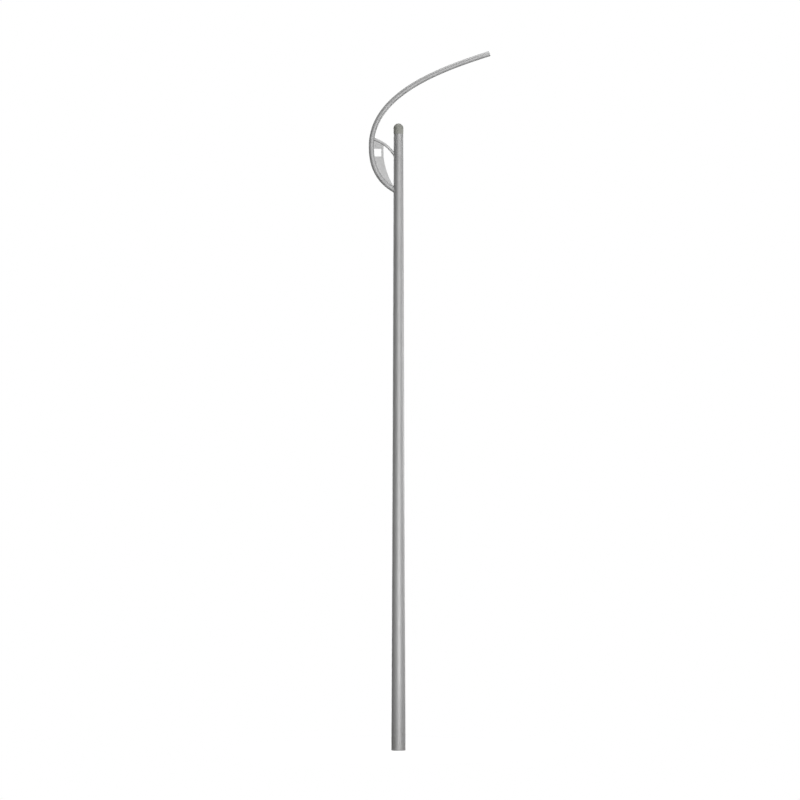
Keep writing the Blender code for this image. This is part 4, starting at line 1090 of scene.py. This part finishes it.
def make_world():
    """White to look at; as light, a soft studio that is brightest overhead and dim on the left."""
    world = bpy.data.worlds.new("studio")
    bpy.context.scene.world = world
    world.use_nodes = True
    tree = world.node_tree
    background = tree.nodes["Background"]
    place = tree.nodes.new("ShaderNodeTexCoord")
    split = tree.nodes.new("ShaderNodeSeparateXYZ")
    tree.links.new(place.outputs["Generated"], split.inputs["Vector"])
    side = tree.nodes.new("ShaderNodeMapRange")
    side.inputs["From Min"].default_value = -1.0
    side.inputs["From Max"].default_value = 1.0
    side.inputs["To Min"].default_value = 0.0
    side.inputs["To Max"].default_value = SIDE_STRENGTH
    tree.links.new(split.outputs["X"], side.inputs["Value"])
    above = tree.nodes.new("ShaderNodeMapRange")
    above.inputs["From Min"].default_value = 0.85
    above.inputs["From Max"].default_value = 1.0
    above.inputs["To Min"].default_value = 0.0
    above.inputs["To Max"].default_value = TOP_STRENGTH
    tree.links.new(split.outputs["Z"], above.inputs["Value"])
    total = tree.nodes.new("ShaderNodeMath")
    total.operation = "ADD"
    tree.links.new(side.outputs["Result"], total.inputs[0])
    tree.links.new(above.outputs["Result"], total.inputs[1])
    look = tree.nodes.new("ShaderNodeLightPath")
    white = tree.nodes.new("ShaderNodeMix")
    white.data_type = "FLOAT"
    white.inputs[3].default_value = 1.0
    tree.links.new(look.outputs["Is Camera Ray"], white.inputs["Factor"])
    tree.links.new(total.outputs["Value"], white.inputs[2])
    tree.links.new(white.outputs[0], background.inputs["Strength"])
    background.inputs["Color"].default_value = (1.0, 1.0, 1.0, 1.0)


def softbox(name, azimuth, distance, width, height, middle, watts):
    """An upright panel at an azimuth round the post, 0 in front of it and 90 at its right."""
    light = bpy.data.lights.new(name, "AREA")
    light.shape = "RECTANGLE"
    light.size = width
    light.size_y = height
    light.energy = watts
    lamp = bpy.data.objects.new(name, light)
    bpy.context.scene.collection.objects.link(lamp)
    turn = math.radians(azimuth)
    lamp.location = (distance * math.sin(turn), -distance * math.cos(turn), middle)
    aim = Vector((0.0, 0.0, middle)) - Vector(lamp.location)
    lamp.rotation_euler = aim.to_track_quat("-Z", "Z").to_euler()


def make_lights():
    middle = SHAFT_HEIGHT / 2.0
    softbox("key", 14.0, 9.0, 8.0, 13.0, middle + 0.8, 900.0)
    softbox("foot_fill", 14.0, 6.0, 4.0, 2.0, 0.7, 135.0)
    softbox("right_rim", 118.0, 7.0, 2.6, 10.0, middle + 0.4, 340.0)
    softbox("rear", 200.0, 8.0, 6.0, 11.0, middle + 0.8, 560.0)
    softbox("left_rear", 228.0, 8.0, 3.0, 11.0, middle + 0.8, 100.0)
    softbox("top_fill", 50.0, 4.0, 2.0, 2.0, 7.6, 24.0)


VIEW_WIDTH = 9.187  # what the picture spans at the post
VIEW_MIDDLE = Vector((0.018, 0.0, 4.0215))
LENS_MM = 200.0
SENSOR_MM = 36.0


def make_camera():
    camera = bpy.data.cameras.new("camera")
    camera.lens = LENS_MM
    camera.sensor_width = SENSOR_MM
    distance = VIEW_WIDTH * LENS_MM / SENSOR_MM
    camera.clip_start = 0.5
    camera.clip_end = distance * 3.0
    holder = bpy.data.objects.new("camera", camera)
    bpy.context.scene.collection.objects.link(holder)
    holder.location = VIEW_MIDDLE - Vector((0.0, distance, 0.0))
    holder.rotation_euler = (math.pi / 2.0, 0.0, 0.0)
    bpy.context.scene.camera = holder
    bpy.context.scene.view_settings.view_transform = "Standard"


make_camera()
make_world()
make_lights()
make_floor()
make_column()
make_door()
make_bow()
make_brace()
make_gusset()
make_welds()
for where in ("lower", "upper"):
    make_hinge_leaf(where + "_hinge_post_leaf", "post", 1.0)
    make_hinge_leaf(where + "_hinge_door_leaf", "door", -1.0)
make_lock_housing()
make_ball()
make_collar()
make_breaker()
make_terminal_screws()
dress_nodes()
